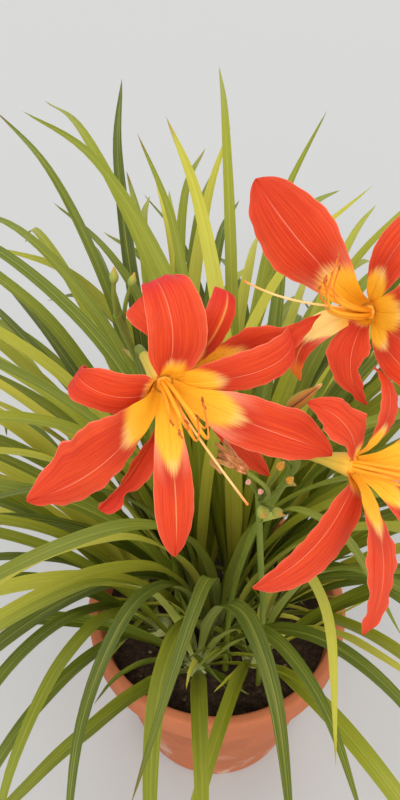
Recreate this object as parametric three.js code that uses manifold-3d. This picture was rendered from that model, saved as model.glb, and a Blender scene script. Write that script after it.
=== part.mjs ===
// A daylily clump in a plain clay pot: leaf fans, four flower scapes and four open blooms.
// Millimetres, +Z up. The origin is the middle of the pot's flat base, on the surface it stands on.

import * as THREE from "three";
import { mergeVertices } from "three/addons/utils/BufferGeometryUtils.js";
import Module from "manifold-3d";

const wasm = await Module();
wasm.setup();

// ---------------------------------------------------------------- driving dimensions

const POT = { height: 220, baseRadius: 86, shoulderRadius: 118, rimRadius: 130, rimHeight: 36, sides: 28 };
const POT_WALL = 9;
const POT_FLOOR = 12;
const DRAIN = { radius: 6, ring: 50, count: 3 };

const SOIL_TOP = 192; // height of the soil at the pot's wall
const SOIL_CROWN = 5; // how much higher it lies in the middle
const SOIL_GAP = 0.5; // all round, between soil and pot
const HOLE_FLOOR = 150; // the bottom of every hole in the soil
const HOLE_GAP = 0.4; // round a stem or crown in its hole

const CROWN = { radius: 14, neck: 11, top: 204, sides: 6 };
const LEAF = { segments: 6, keel: 1.1 }; // keel: how deep it stands below the leaf's folded middle
const LEAF_REACH = 366; // furthest a leaf goes from the pot's axis
const LEAF_LOW = 26; // no leaf hangs lower than this
const LEAF_HIGH = 655; // no leaf rises higher than this
const BLOOM_FLOOR = 600; // leaves stay under this height where the blooms hang
const BLOOM_FRONT = -95; // ... which is in front of this plane
const LEAF_TRIES = 40;
const LEAF_CLEARANCE = 1.2; // to other fans, scapes and blooms
const FAN_CLEARANCE = 0.3; // to leaves of the same fan, above their feet

const TEPAL = { rows: 8, curledRows: 9, across: 4, thickness: 1 };
const PETAL_FOOT = 5.3; // radius of the throat where the three inner petals start
const SEPAL_FOOT = 6.2; // and where the three outer sepals start
const THROAT_ANGLE = 15; // a tepal leaves the throat at this angle to the bloom's axis
const THROAT_SHARE = 0.1; // the share of its length in which it then opens
const CUP_SHARE = 0.3; // the share in which it is wrapped round the throat
const TUBE = { length: 28, neck: 2.7, mouth: 7.2, bore: 4.6, boreDepth: 9, lip: 1.2 };
const SEAT_GAP = 0.3; // between a bloom and its stalk, and a plug and its socket
const JOIN_TOLERANCE = 0.03;

const DEG = Math.PI / 180;

// ---------------------------------------------------------------- small helpers

const vec = (x, y, z) => new THREE.Vector3(x, y, z);
const mix = (a, b, t) => a + (b - a) * t;

/** The same number between 0 and 1 for the same k, every time. */
function draw(k) {
  const x = Math.sin(k * 12.9898) * 43758.5453;
  return x - Math.floor(x);
}

/** Adds scaled directions to a point: sum(p, [a, 2], [b, 3]) is p + 2a + 3b. */
function sum(point, ...terms) {
  const out = point.clone();
  for (const [direction, scale] of terms) out.addScaledVector(direction, scale);
  return out;
}

function geometryOf(positions, index) {
  const geometry = new THREE.BufferGeometry();
  geometry.setAttribute("position", new THREE.Float32BufferAttribute(positions, 3));
  geometry.setIndex(index);
  return geometry;
}

/** A closed geometry as a solid that can be joined and cut. */
function solidOf(geometry) {
  const bare = geometry.clone();
  bare.deleteAttribute("normal");
  bare.deleteAttribute("uv");
  const merged = mergeVertices(bare, 1e-3);
  return new wasm.Manifold(
    new wasm.Mesh({
      numProp: 3,
      vertProperties: Float32Array.from(merged.attributes.position.array),
      triVerts: Uint32Array.from(merged.index.array),
    }),
  );
}

function geometryFrom(solid) {
  const mesh = solid.getMesh();
  const positions = [];
  for (let i = 0; i < mesh.numVert; i++) {
    for (let axis = 0; axis < 3; axis++) positions.push(mesh.vertProperties[i * mesh.numProp + axis]);
  }
  return geometryOf(positions, Array.from(mesh.triVerts));
}

/** A solid without the slivers that joining leaves, its surface moved less than JOIN_TOLERANCE. */
const cleaned = (solid) => solid.asOriginal().simplify(JOIN_TOLERANCE);

/** Joins solids into one, without the sealed pockets and loose scraps that joining can leave. */
function fused(solids) {
  const bodies = solids.reduce((whole, next) => whole.add(next)).decompose();
  return bodies.reduce((largest, body) => (body.volume() > largest.volume() ? body : largest));
}

// ---------------------------------------------------------------- shapes

/** A solid of revolution about +Z, from [radius, height] pairs that start and end on the axis. */
function turned(profile, sides) {
  const points = profile.map(([radius, height]) => new THREE.Vector2(radius, height));
  return new THREE.LatheGeometry(points, sides).rotateX(Math.PI / 2);
}

/** A closed skin over rings of points, which run anticlockwise seen from the end. */
function loft(rings, tip) {
  const count = rings[0].length;
  const positions = [];
  for (const ring of rings) for (const p of ring) positions.push(p.x, p.y, p.z);
  const index = [];
  for (let i = 0; i < rings.length - 1; i++) {
    for (let j = 0; j < count; j++) {
      const a = i * count + j;
      const b = i * count + ((j + 1) % count);
      index.push(a, b, b + count, a, b + count, a + count);
    }
  }
  const last = (rings.length - 1) * count;
  for (let j = 1; j < count - 1; j++) index.push(0, j + 1, j);
  if (tip) {
    positions.push(tip.x, tip.y, tip.z);
    for (let j = 0; j < count; j++) index.push(last + j, last + ((j + 1) % count), last + count);
  } else {
    for (let j = 1; j < count - 1; j++) index.push(last, last + j, last + j + 1);
  }
  return geometryOf(positions, index);
}

/** A round stem along a smooth curve through points; radiusAt gives its radius along it. */
function stem(points, radiusAt, sides, steps) {
  const curve = new THREE.CatmullRomCurve3(points, false, "centripetal");
  const frames = curve.computeFrenetFrames(steps, false);
  const rings = [];
  for (let i = 0; i <= steps; i++) {
    const centre = curve.getPointAt(i / steps);
    const radius = radiusAt(i / steps);
    const ring = [];
    for (let j = 0; j < sides; j++) {
      const turn = (2 * Math.PI * j) / sides;
      const [across, up] = [radius * Math.cos(turn), radius * Math.sin(turn)];
      ring.push(sum(centre, [frames.normals[i], across], [frames.binormals[i], up]));
    }
    rings.push(ring);
  }
  return loft(rings);
}

/** A spindle, such as a bud or an anther, from one point to another. */
function spindle(from, to, radius, sides, blunt = 0.45) {
  const shares = [0, 0.4, 1];
  const widths = [blunt, 1, blunt];
  const along = to.clone().sub(from);
  const aim = new THREE.Quaternion().setFromUnitVectors(vec(0, 0, 1), along.clone().normalize());
  const rings = shares.map((share, i) =>
    Array.from({ length: sides }, (_, j) => {
      const turn = (2 * Math.PI * j) / sides;
      const offset = vec(Math.cos(turn), Math.sin(turn), 0).multiplyScalar(radius * widths[i]);
      return sum(from, [along, share]).add(offset.applyQuaternion(aim));
    }),
  );
  return loft(rings);
}

/** A thin blade over a grid of points, as thick as given inside and sharp at its rim and tip. */
function blade(rows, tip, thickness) {
  const across = rows[0].length - 1;
  const last = rows.length - 1;
  const positions = [];
  const put = (p) => positions.push(p.x, p.y, p.z) / 3 - 1;
  const outer = rows.map(() => []);
  const inner = rows.map(() => []);
  rows.forEach((row, i) => {
    row.forEach((point, j) => {
      if (j === 0 || j === across) {
        outer[i][j] = put(point);
        inner[i][j] = outer[i][j];
        return;
      }
      const over = row[j + 1].clone().sub(row[j - 1]);
      const ahead = (i < last ? rows[i + 1][j] : tip).clone().sub(i > 0 ? rows[i - 1][j] : point);
      const normal = over.cross(ahead).normalize();
      outer[i][j] = put(sum(point, [normal, thickness / 2]));
      inner[i][j] = put(sum(point, [normal, -thickness / 2]));
    });
  });
  const index = [];
  for (let i = 0; i < last; i++) {
    for (let j = 0; j < across; j++) {
      index.push(outer[i][j], outer[i][j + 1], outer[i + 1][j + 1]);
      index.push(outer[i][j], outer[i + 1][j + 1], outer[i + 1][j]);
      index.push(inner[i][j], inner[i + 1][j + 1], inner[i][j + 1]);
      index.push(inner[i][j], inner[i + 1][j], inner[i + 1][j + 1]);
    }
  }
  const end = put(tip);
  for (let j = 0; j < across; j++) {
    index.push(outer[last][j], outer[last][j + 1], end);
    index.push(inner[last][j], end, inner[last][j + 1]);
    if (j < across - 1) index.push(outer[0][j], inner[0][j + 1], outer[0][j + 1]);
    if (j > 0) index.push(outer[0][j], inner[0][j], inner[0][j + 1]);
  }
  return geometryOf(positions, index);
}

// ---------------------------------------------------------------- pot and soil

/** The inner radius of the pot at a height above its floor. */
function potInside(height) {
  const shoulder = POT.height - POT_WALL * 4;
  const low = POT.baseRadius - POT_WALL + 2;
  const high = POT.shoulderRadius - POT_WALL + 3;
  return mix(low, high, (height - POT_FLOOR) / (shoulder - POT_FLOOR));
}

function makePot() {
  const rimFoot = POT.height - POT.rimHeight;
  const mouth = potInside(POT.height);
  const body = solidOf(
    turned(
      [
        [0, 0],
        [POT.baseRadius, 0],
        [POT.shoulderRadius, rimFoot],
        [POT.rimRadius - 3, rimFoot],
        [POT.rimRadius, rimFoot + 4],
        [POT.rimRadius, POT.height - 5],
        [POT.rimRadius - 3, POT.height],
        [mouth, POT.height],
        [potInside(POT_FLOOR), POT_FLOOR],
        [0, POT_FLOOR],
      ],
      POT.sides,
    ),
  );
  let pot = body;
  for (let i = 0; i < DRAIN.count; i++) {
    const turn = (2 * Math.PI * (i + 0.5)) / DRAIN.count;
    const drill = new THREE.CylinderGeometry(DRAIN.radius, DRAIN.radius, 3 * POT_FLOOR, 12);
    const at = [DRAIN.ring * Math.cos(turn), DRAIN.ring * Math.sin(turn), POT_FLOOR / 2];
    drill.rotateX(Math.PI / 2).translate(...at);
    pot = pot.subtract(solidOf(drill));
  }
  return geometryFrom(pot);
}

/** An upright prism that cuts the hole for a stem or crown of the given radius. */
function holeFor(x, y, radius, sides) {
  const reach = (radius + HOLE_GAP) / Math.cos(Math.PI / sides);
  const height = 2 * (SOIL_TOP - HOLE_FLOOR);
  const drill = new THREE.CylinderGeometry(reach, reach, height, sides).rotateX(Math.PI / 2);
  return solidOf(drill.translate(x, y, HOLE_FLOOR + height / 2));
}

function makeSoil() {
  const floor = POT_FLOOR + SOIL_GAP;
  let soil = solidOf(
    turned(
      [
        [0, floor],
        [potInside(floor) - SOIL_GAP, floor],
        [potInside(SOIL_TOP) - SOIL_GAP, SOIL_TOP],
        [0, SOIL_TOP + SOIL_CROWN],
      ],
      POT.sides,
    ),
  );
  for (const fan of FANS) soil = soil.subtract(holeFor(fan.x, fan.y, CROWN.radius, CROWN.sides));
  for (const scape of SCAPES) {
    soil = soil.subtract(holeFor(scape.points[0][0], scape.points[0][1], scape.thick, scape.sides));
  }
  return geometryFrom(soil);
}

// ---------------------------------------------------------------- leaves

const FAN_LEAVES = { front: 9, side: 18, back: 24, middle: 27 };

/** Nine fans: six in a ring that lean outwards, and three upright ones in the middle. */
const FANS = [];
for (let i = 0; i < 6; i++) {
  const facing = 10 + 60 * i;
  const back = Math.sin(facing * DEG);
  const place = back > 0.5 ? "back" : back < -0.5 ? "front" : "side";
  FANS.push({
    x: 58 * Math.cos(facing * DEG),
    y: 58 * Math.sin(facing * DEG),
    facing,
    spread: 62,
    leaves: FAN_LEAVES[place],
    launch: [56, 84],
    length: [440, 600],
    droop: place === "back" ? [130, 62] : [148, 74],
  });
}
for (const facing of [42, 138, 270]) {
  FANS.push({
    x: 24 * Math.cos(facing * DEG),
    y: 24 * Math.sin(facing * DEG),
    facing,
    spread: 90,
    leaves: facing < 180 ? FAN_LEAVES.middle : FAN_LEAVES.side,
    launch: [70, 86],
    length: [540, 660],
    droop: [130, 78],
  });
}

/** The measures of one leaf; another attempt gives another leaf for the same place. */
function leafMeasures(fanNumber, leafNumber, attempt) {
  const fan = FANS[fanNumber];
  const seed = fanNumber * 9100 + leafNumber * 530 + attempt * 11;
  const rank = leafNumber / (fan.leaves - 1); // 0 is the oldest, outermost leaf
  const hand = leafNumber % 2 ? 1 : -1;
  return {
    azimuth: fan.facing + hand * fan.spread * draw(seed + 1) ** 0.8,
    launch: mix(fan.launch[0], fan.launch[1], rank) + 8 * (draw(seed + 2) - 0.5),
    droop: mix(fan.droop[0], fan.droop[1], rank) + 50 * (draw(seed + 3) - 0.5),
    length: mix(fan.length[0], fan.length[1], rank) * mix(0.78, 1.06, draw(seed + 4)),
    width: mix(12, 19, draw(seed + 5)),
    swerve: 70 * (draw(seed + 6) - 0.5),
    roll: 60 * (draw(seed + 7) - 0.5),
    bend: mix(1.3, 2.8, draw(seed + 8)),
    outward: mix(8.5, 0.5, rank),
    offset: 1.5 * hand,
  };
}

/** Half the width of a leaf along it, and how steeply its two halves rise from the keel. */
function leafHalfWidth(leaf, s) {
  return (leaf.width / 2) * Math.min(1, 0.34 + 2.6 * s) * (1 - s ** 3.4) ** 0.8;
}

const leafFold = (s) => mix(38, 12, Math.min(1, s * 2)) * DEG;

/** Where a leaf's keel runs, with the directions along it, across it and out of its upper face. */
function leafSpine(fanNumber, leaf, segments) {
  const fan = FANS[fanNumber];
  const outwards = vec(Math.cos(leaf.azimuth * DEG), Math.sin(leaf.azimuth * DEG), 0);
  const across = vec(-outwards.y, outwards.x, 0);
  const place = sum(vec(fan.x, fan.y, CROWN.top - 8), [outwards, leaf.outward], [across, leaf.offset]);
  const spine = [];
  for (let i = 0; i <= segments; i++) {
    const directionAt = (s) => {
      const rise = (leaf.launch - leaf.droop * s ** leaf.bend) * DEG;
      const heading = (leaf.azimuth + leaf.swerve * s * s) * DEG;
      return [
        vec(Math.cos(rise) * Math.cos(heading), Math.cos(rise) * Math.sin(heading), Math.sin(rise)),
        vec(-Math.sin(heading), Math.cos(heading), 0),
      ];
    };
    const s = i / segments;
    const [along, level] = directionAt(s);
    const face = along.clone().cross(level).normalize();
    const roll = leaf.roll * s * DEG;
    spine.push({
      s,
      at: place.clone(),
      side: sum(vec(0, 0, 0), [level, Math.cos(roll)], [face, Math.sin(roll)]),
      face: sum(vec(0, 0, 0), [face, Math.cos(roll)], [level, -Math.sin(roll)]),
    });
    place.addScaledVector(directionAt((i + 0.5) / segments)[0], leaf.length / segments);
  }
  return spine;
}

/** A keeled strap, three-sided: each ring is the keel and the two rims. It may start past its foot. */
function leafBlade(fanNumber, leaf, spare = 0, start = 0) {
  const spine = leafSpine(fanNumber, leaf, LEAF.segments).slice(start);
  const tip = spine.pop().at;
  const rings = spine.map(({ s, at, side, face }) => {
    const half = leafHalfWidth(leaf, s) + spare;
    const lift = half * Math.sin(leafFold(s));
    const reach = half * Math.cos(leafFold(s));
    return [
      sum(at, [face, -LEAF.keel - spare]),
      sum(at, [side, reach], [face, lift]),
      sum(at, [side, -reach], [face, lift]),
    ];
  });
  return loft(rings, tip);
}

/** Whether a leaf stays inside the clump's own space, below the blooms and off the ground. */
function leafFits(fanNumber, leaf) {
  return leafSpine(fanNumber, leaf, LEAF.segments).every(({ at }) => {
    const ceiling = at.y < BLOOM_FRONT ? BLOOM_FLOOR : LEAF_HIGH;
    const outside = Math.hypot(at.x, at.y) > POT.rimRadius + 12;
    const floor = outside ? LEAF_LOW : at.z < CROWN.top ? CROWN.top - 10 : POT.height - 16;
    return Math.hypot(at.x, at.y) < LEAF_REACH && at.z < ceiling && at.z >= Math.min(floor, CROWN.top - 10);
  });
}

/** Whether a solid meets any of the others. */
function meets(solid, others) {
  const box = solid.boundingBox();
  const near = (other) => {
    const { min, max } = other.boundingBox();
    return [0, 1, 2].every((axis) => box.min[axis] <= max[axis] && min[axis] <= box.max[axis]);
  };
  return others.some((other) => near(other) && solid.intersect(other).volume() > 0);
}

/**
 * Grows the fans one leaf at a time, in turn, each leaf drawn again until it is clear of
 * the other fans and of what already stands in the clump.
 */
function growFans(standing) {
  const grown = FANS.map(() => []);
  const most = Math.max(...FANS.map((fan) => fan.leaves));
  for (let leafNumber = 0; leafNumber < most; leafNumber++) {
    FANS.forEach((fan, fanNumber) => {
      if (leafNumber >= fan.leaves) return;
      const others = grown.filter((_, other) => other !== fanNumber).flat();
      const own = grown[fanNumber].map(({ upper }) => upper);
      for (let attempt = 0; attempt < LEAF_TRIES; attempt++) {
        const leaf = leafMeasures(fanNumber, leafNumber, attempt);
        if (!leafFits(fanNumber, leaf)) continue;
        const roomy = solidOf(leafBlade(fanNumber, leaf, LEAF_CLEARANCE));
        const upper = solidOf(leafBlade(fanNumber, leaf, FAN_CLEARANCE, 1));
        if (meets(roomy, standing.concat(others.map(({ whole }) => whole))) || meets(upper, own)) continue;
        grown[fanNumber].push({ whole: solidOf(leafBlade(fanNumber, leaf)), upper });
        return;
      }
    });
  }
  return grown;
}

function crownOf(fan) {
  const profile = [
    [0, HOLE_FLOOR + SEAT_GAP],
    [CROWN.radius * 0.8, HOLE_FLOOR + SEAT_GAP],
    [CROWN.radius, SOIL_TOP - 20],
    [CROWN.radius, SOIL_TOP],
    [CROWN.neck, CROWN.top],
    [0, CROWN.top + 2],
  ];
  return solidOf(turned(profile, CROWN.sides).translate(fan.x, fan.y, 0));
}

// ---------------------------------------------------------------- blooms

/**
 * Each bloom: where the middle of its throat is, the way it faces (compass angle from -Y
 * towards +X, and elevation), and its six tepals. A tepal leaves the throat at `az` round
 * the axis, drifts by `side` towards its tip, opens to `open` degrees from the axis, bends
 * back by `bend` and rolls under by `curl` at its end. `skew` makes one edge wider than the
 * other; each lobe [edge, place, size, span] swells or pinches an edge over part of its length.
 */
const BLOOMS = {
  front: {
    at: [-35, -195, 756.5],
    faces: [23, 13],
    style: { length: 106, side: -3, sag: 2.5, lift: 6.5 },
    stamens: { scale: 1, lift: 0 },
    tepals: [
      {
        az: 82, side: 20, length: 73, width: 30, open: 62, bend: 88, curl: 146, base: 0.35,
        wide: 0.33, tip: 2.7, skew: -0.2,
      },
      {
        az: 181, side: -49, drift: 0.5, length: 61, width: 22, open: 61, bend: 85, curl: 190,
        base: 0.52, wide: 0.21, tip: 3.4, outer: 1, skew: -0.14,
        lobes: [[-1, 0.8, -0.48, 0.1], [1, 0.75, 0.36, 0.12]],
      },
      {
        az: 206, side: -39, drift: 0.8, length: 94, width: 38, open: 48, bend: 34, wide: 0.65,
        tip: 1.8, ruffle: 1, skew: -0.3,
        lobes: [[-1, 0.8, 0.2, 0.05], [1, 0.5, -0.12, 0.06], [1, 0.9, -0.35, 0.09]],
      },
      {
        az: 258, side: 3, length: 87, width: 21.4, open: 52, bend: 40, base: 0.55, wide: 0.6,
        outer: 1, skew: -0.06,
      },
      {
        az: 330, side: -22, drift: 6, length: 93, width: 29, open: 50, bend: 42, wide: 0.5,
        tip: 1.9, ruffle: 0.8, lobes: [[1, 0.72, 0.22, 0.1]],
      },
      {
        az: 7, side: 10, length: 80, width: 23, open: 52, bend: 60, curl: 110, base: 0.55,
        wide: 0.5, tip: 3, outer: 1, skew: 0.2,
      },
    ],
  },
  rear: {
    at: [-28, -169.5, 732.5],
    faces: [20, 18],
    style: { length: 34, side: 0, sag: 1, lift: 0 },
    stamens: { scale: 0.45, lift: 0 },
    tepals: [
      {
        az: 27, side: -5, length: 80, width: 27, open: 55, bend: 35, base: 0.4, wide: 0.42,
        tip: 1.2, ruffle: 1.4, skew: -0.1, lobes: [[1, 0.56, 0.4, 0.11], [1, 0.78, -0.4, 0.08]],
      },
      {
        az: 63, side: -12, length: 67, width: 17, open: 51, bend: 54, curl: 138, base: 0.25,
        wide: 0.5, tip: 3.4, outer: 1, skew: 0.25,
      },
      {
        az: 103, side: 6, length: 54, width: 23, open: 70, bend: 66, curl: 60, base: 0.2,
        wide: 0.8, tip: 3, lobes: [[1, 0.55, -0.35, 0.15]],
      },
      { az: 176, side: 0, length: 53, width: 17, open: 75, bend: 60, curl: 60, outer: 1 },
      {
        az: 223, side: -3, length: 78, width: 19, open: 60, bend: 40, fold: 50, ruffle: 1.6,
        tip: 5, lobes: [[1, 0.66, 0.15, 0.06], [1, 0.8, -0.4, 0.06]],
      },
      { az: 301, side: 0, length: 77, width: 12, open: 66, bend: 40, outer: 1 },
    ],
  },
  upper: {
    at: [73, -135.5, 749],
    faces: [-42, 28],
    style: { length: 106, side: -17, sag: -6, lift: 19, power: 3 },
    stamens: { scale: 1, lift: 9 },
    tepals: [
      { az: 148, side: 7, length: 92, width: 44, open: 52, bend: 50, ruffle: 1.4 },
      {
        az: 220, side: 80, drift: 1.35, length: 61, width: 15, open: 50, bend: 85, base: 0.6,
        wide: 0.35, outer: 1, skew: -0.1,
      },
      {
        az: 282, side: 59, drift: 1.5, length: 51, width: 26, open: 50, bend: 56, base: 0.43,
        wide: 0.41, tip: 1.1, ruffle: 1, skew: -0.2,
        lobes: [[1, 0.62, -0.46, 0.12], [-1, 0.82, -0.49, 0.1]],
      },
      { az: 342, side: 8, length: 60, width: 20, open: 45, bend: 100, outer: 1 },
      { az: 30, side: 0, length: 90, width: 34, open: 45, bend: 70, ruffle: 1 },
      { az: 78, side: 0, length: 80, width: 21, open: 45, bend: 100, curl: 60, outer: 1 },
    ],
  },
  lower: {
    at: [63, -206.5, 706],
    faces: [55, 20],
    style: { length: 96, side: 6, sag: 2.5, lift: 14 },
    stamens: { scale: 1, lift: 4 },
    tepals: [
      {
        az: 100, side: 30, length: 61, width: 32, open: 70, bend: 60, base: 0.11, wide: 0.37,
        tip: 1.2, ruffle: 1.2, lobes: [[1, 0.35, -0.61, 0.2], [-1, 0.55, -0.19, 0.15]],
      },
      { az: 48, side: -10, length: 58, width: 19, open: 45, bend: 120, outer: 1 },
      {
        az: 188, side: -5, length: 86, width: 31, open: 79, bend: 54, wide: 0.31, tip: 2.6,
        outer: 1, skew: 0.37,
      },
      { az: 225, side: 0, length: 88, width: 30, open: 45, bend: 70, ruffle: 1 },
      { az: 284, side: 0, length: 82, width: 20, open: 45, bend: 80, outer: 1 },
      { az: 345, side: 0, length: 88, width: 30, open: 45, bend: 70, ruffle: 1 },
    ],
  },
};

/**
 * The six stamens. Each leaves the throat at `root` round its middle, turns upwards at
 * `bend` and carries its anther at `head`: millimetres forward, right and up.
 */
const STAMENS = [
  { root: 0, bend: [52, 1.5, 1], head: [59, -1, 28] },
  { root: 60, bend: [49, 1.5, 5], head: [56, 0.5, 22] },
  { root: 120, bend: [43, -5, 3.5], head: [50, -6.5, 12] },
  { root: 180, bend: [36, -9.5, 4], head: [42, -11, 8] },
  { root: 240, bend: [40, -7, -2.5], head: [47, -9.5, 5] },
  { root: 300, bend: [46, -2, -3], head: [54, -2.5, 16] },
];

/** A bloom's own axes: forward is the way it faces, up leans back from it. */
function bloomAxes(bloom) {
  const [compass, elevation] = bloom.faces.map((angle) => angle * DEG);
  const forward = vec(
    Math.sin(compass) * Math.cos(elevation),
    -Math.cos(compass) * Math.cos(elevation),
    Math.sin(elevation),
  );
  const up = sum(vec(0, 0, 1), [forward, -forward.z]).normalize();
  const right = up.clone().cross(forward);
  return { at: vec(...bloom.at), forward, up, right };
}

/** A direction square to a bloom's axis, at an angle round it from its right. */
function spoke(axes, angle) {
  return sum(vec(0, 0, 0), [axes.right, Math.cos(angle * DEG)], [axes.up, Math.sin(angle * DEG)]);
}

/** A tepal's width along it, as a share of its greatest width. */
function tepalWidth(tepal, s) {
  const { base = 0.3, wide = 0.55, tip = 2.2 } = tepal;
  if (s < wide) {
    const k = s / wide;
    return base + (1 - base) * k * k * (3 - 2 * k);
  }
  return Math.max(0, 1 - ((s - wide) / (1 - wide)) ** tip) ** 0.75;
}

/** How far one edge of a tepal, -1 or 1, lies from its midrib. */
function tepalEdge(tepal, s, edge) {
  const { skew = 0, lobes = [] } = tepal;
  let half = (tepal.width / 2) * tepalWidth(tepal, s) * (1 + skew * edge);
  for (const [side, place, size, span] of lobes) {
    if (side === edge) half *= 1 + size * Math.exp(-(((s - place) / span) ** 2));
  }
  return half;
}

/** The grid of points over a tepal's middle surface, and its tip. */
function tepalGrid(axes, tepal) {
  const { side = 0, drift = 2, curl = 0, fold = 0, ruffle = 0 } = tepal;
  const foot = tepal.outer ? SEPAL_FOOT : PETAL_FOOT;
  const place = sum(axes.at, [spoke(axes, tepal.az), foot]);
  const openingAt = (s) =>
    (THROAT_ANGLE +
      (tepal.open - THROAT_ANGLE) * Math.min(1, s / THROAT_SHARE) +
      tepal.bend * s ** 1.5 +
      curl * s ** 5) *
    DEG;
  const spokeAt = (s) => spoke(axes, tepal.az + side * s ** drift);
  const alongAt = (s) =>
    sum(vec(0, 0, 0), [axes.forward, Math.cos(openingAt(s))], [spokeAt(s), Math.sin(openingAt(s))]);
  const grid = [];
  const rows = curl ? TEPAL.curledRows : TEPAL.rows;
  for (let i = 0; i < rows; i++) {
    const s = i / rows;
    const across = axes.forward.clone().cross(spokeAt(s));
    const inward = alongAt(s).cross(across);
    const wrap = Math.max(0, 1 - s / CUP_SHARE) ** 2 / foot;
    const rise = fold * DEG * Math.min(1, s * 3);
    const row = [];
    for (let j = 0; j <= TEPAL.across; j++) {
      const u = (2 * j) / TEPAL.across - 1;
      const half = tepalEdge(tepal, s, Math.sign(u));
      const turn = half * u * wrap;
      const reach = wrap > 1e-6 ? Math.sin(turn) / wrap : half * u;
      const hollow = wrap > 1e-6 ? (1 - Math.cos(turn)) / wrap : 0;
      const phase = u > 0 ? 0 : 2.1;
      const wave = ruffle * u * u * Math.sin(5 * Math.PI * s + phase) * Math.min(1, s * 2);
      const lift = half * Math.abs(u) * Math.sin(rise) + wave + hollow;
      row.push(sum(place, [across, reach * Math.cos(rise)], [inward, lift]));
    }
    grid.push(row);
    place.addScaledVector(alongAt((i + 0.5) / rows), tepal.length / rows);
  }
  return { grid, tip: place };
}

/** Turns a geometry made about +Z so that +Z is a bloom's forward axis, at its throat. */
function onBloom(geometry, axes) {
  const basis = new THREE.Matrix4().makeBasis(axes.right, axes.up, axes.forward);
  return geometry.applyMatrix4(basis.setPosition(axes.at));
}

function tepalsOf(bloom) {
  const axes = bloomAxes(bloom);
  const tube = turned(
    [
      [0, -TUBE.length],
      [TUBE.neck, -TUBE.length],
      [TUBE.neck + 0.8, -TUBE.length * 0.7],
      [TUBE.mouth * 0.75, -TUBE.length * 0.3],
      [TUBE.mouth, TUBE.lip],
      [TUBE.bore, TUBE.lip],
      [TUBE.bore * 0.6, -TUBE.boreDepth],
      [0, -TUBE.boreDepth],
    ],
    8,
  );
  const blades = bloom.tepals.map((tepal) => {
    const { grid, tip } = tepalGrid(axes, tepal);
    return blade(grid, tip, TEPAL.thickness);
  });
  return cleaned(fused([onBloom(tube, axes), ...blades].map(solidOf)));
}

/** Six filaments with anthers and one longer style, on a plug that seats in the throat. */
function stamensOf(bloom) {
  const axes = bloomAxes(bloom);
  const seat = TUBE.boreDepth - SEAT_GAP;
  const plugTop = -3;
  const plug = turned(
    [
      [0, -seat],
      [TUBE.bore * 0.45, -seat],
      [TUBE.bore * 0.66, plugTop],
      [0, plugTop],
    ],
    8,
  );
  const point = (forward, right, up) =>
    sum(axes.at, [axes.forward, forward], [axes.right, right], [axes.up, up]);
  const pieces = [onBloom(plug, axes)];
  const { scale, lift } = bloom.stamens;
  for (const stamen of STAMENS) {
    const root = [2 * Math.cos(stamen.root * DEG), 2 * Math.sin(stamen.root * DEG)];
    const held = ([forward, right, up]) => point(forward * scale, right * scale, (up + lift) * scale);
    const elbow = held(stamen.bend);
    const head = held(stamen.head);
    const path = [
      point(plugTop - 2, ...root),
      point(8 * scale, root[0] * 1.3, root[1] * 1.3),
      elbow,
      sum(elbow.clone().lerp(head, 0.4), [axes.forward, 3 * scale]),
      head,
    ];
    pieces.push(stem(path, () => 0.75, 3, scale < 1 ? 3 : 6));
    const half = sum(vec(0, 0, 0), [axes.right, 1.2], [axes.up, 2.2]);
    pieces.push(spindle(head.clone().sub(half), head.clone().add(half), 1.3, 4));
  }
  const { style } = bloom;
  const path = [0, 0.3, 0.6, 0.85, 1].map((t) => {
    const turn = t ** (style.power ?? 2);
    const up = style.lift * turn - style.sag * Math.sin(Math.PI * t);
    return point(mix(plugTop - 2, style.length, t), style.side * turn, up);
  });
  pieces.push(stem(path, (t) => mix(0.9, 0.75, t), 3, scale < 1 ? 3 : 6));
  const end = path[path.length - 1];
  pieces.push(spindle(sum(end, [axes.forward, -1]), sum(end, [axes.forward, 1.6]), 1.2, 4));
  return cleaned(fused(pieces.map(solidOf)));
}

/** The point where a bloom's stalk meets the foot of its tube, and the way the tube grows. */
function stalkEnd(name) {
  const axes = bloomAxes(BLOOMS[name]);
  return { at: sum(axes.at, [axes.forward, -TUBE.length - SEAT_GAP]), forward: axes.forward };
}

// ---------------------------------------------------------------- scapes

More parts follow.
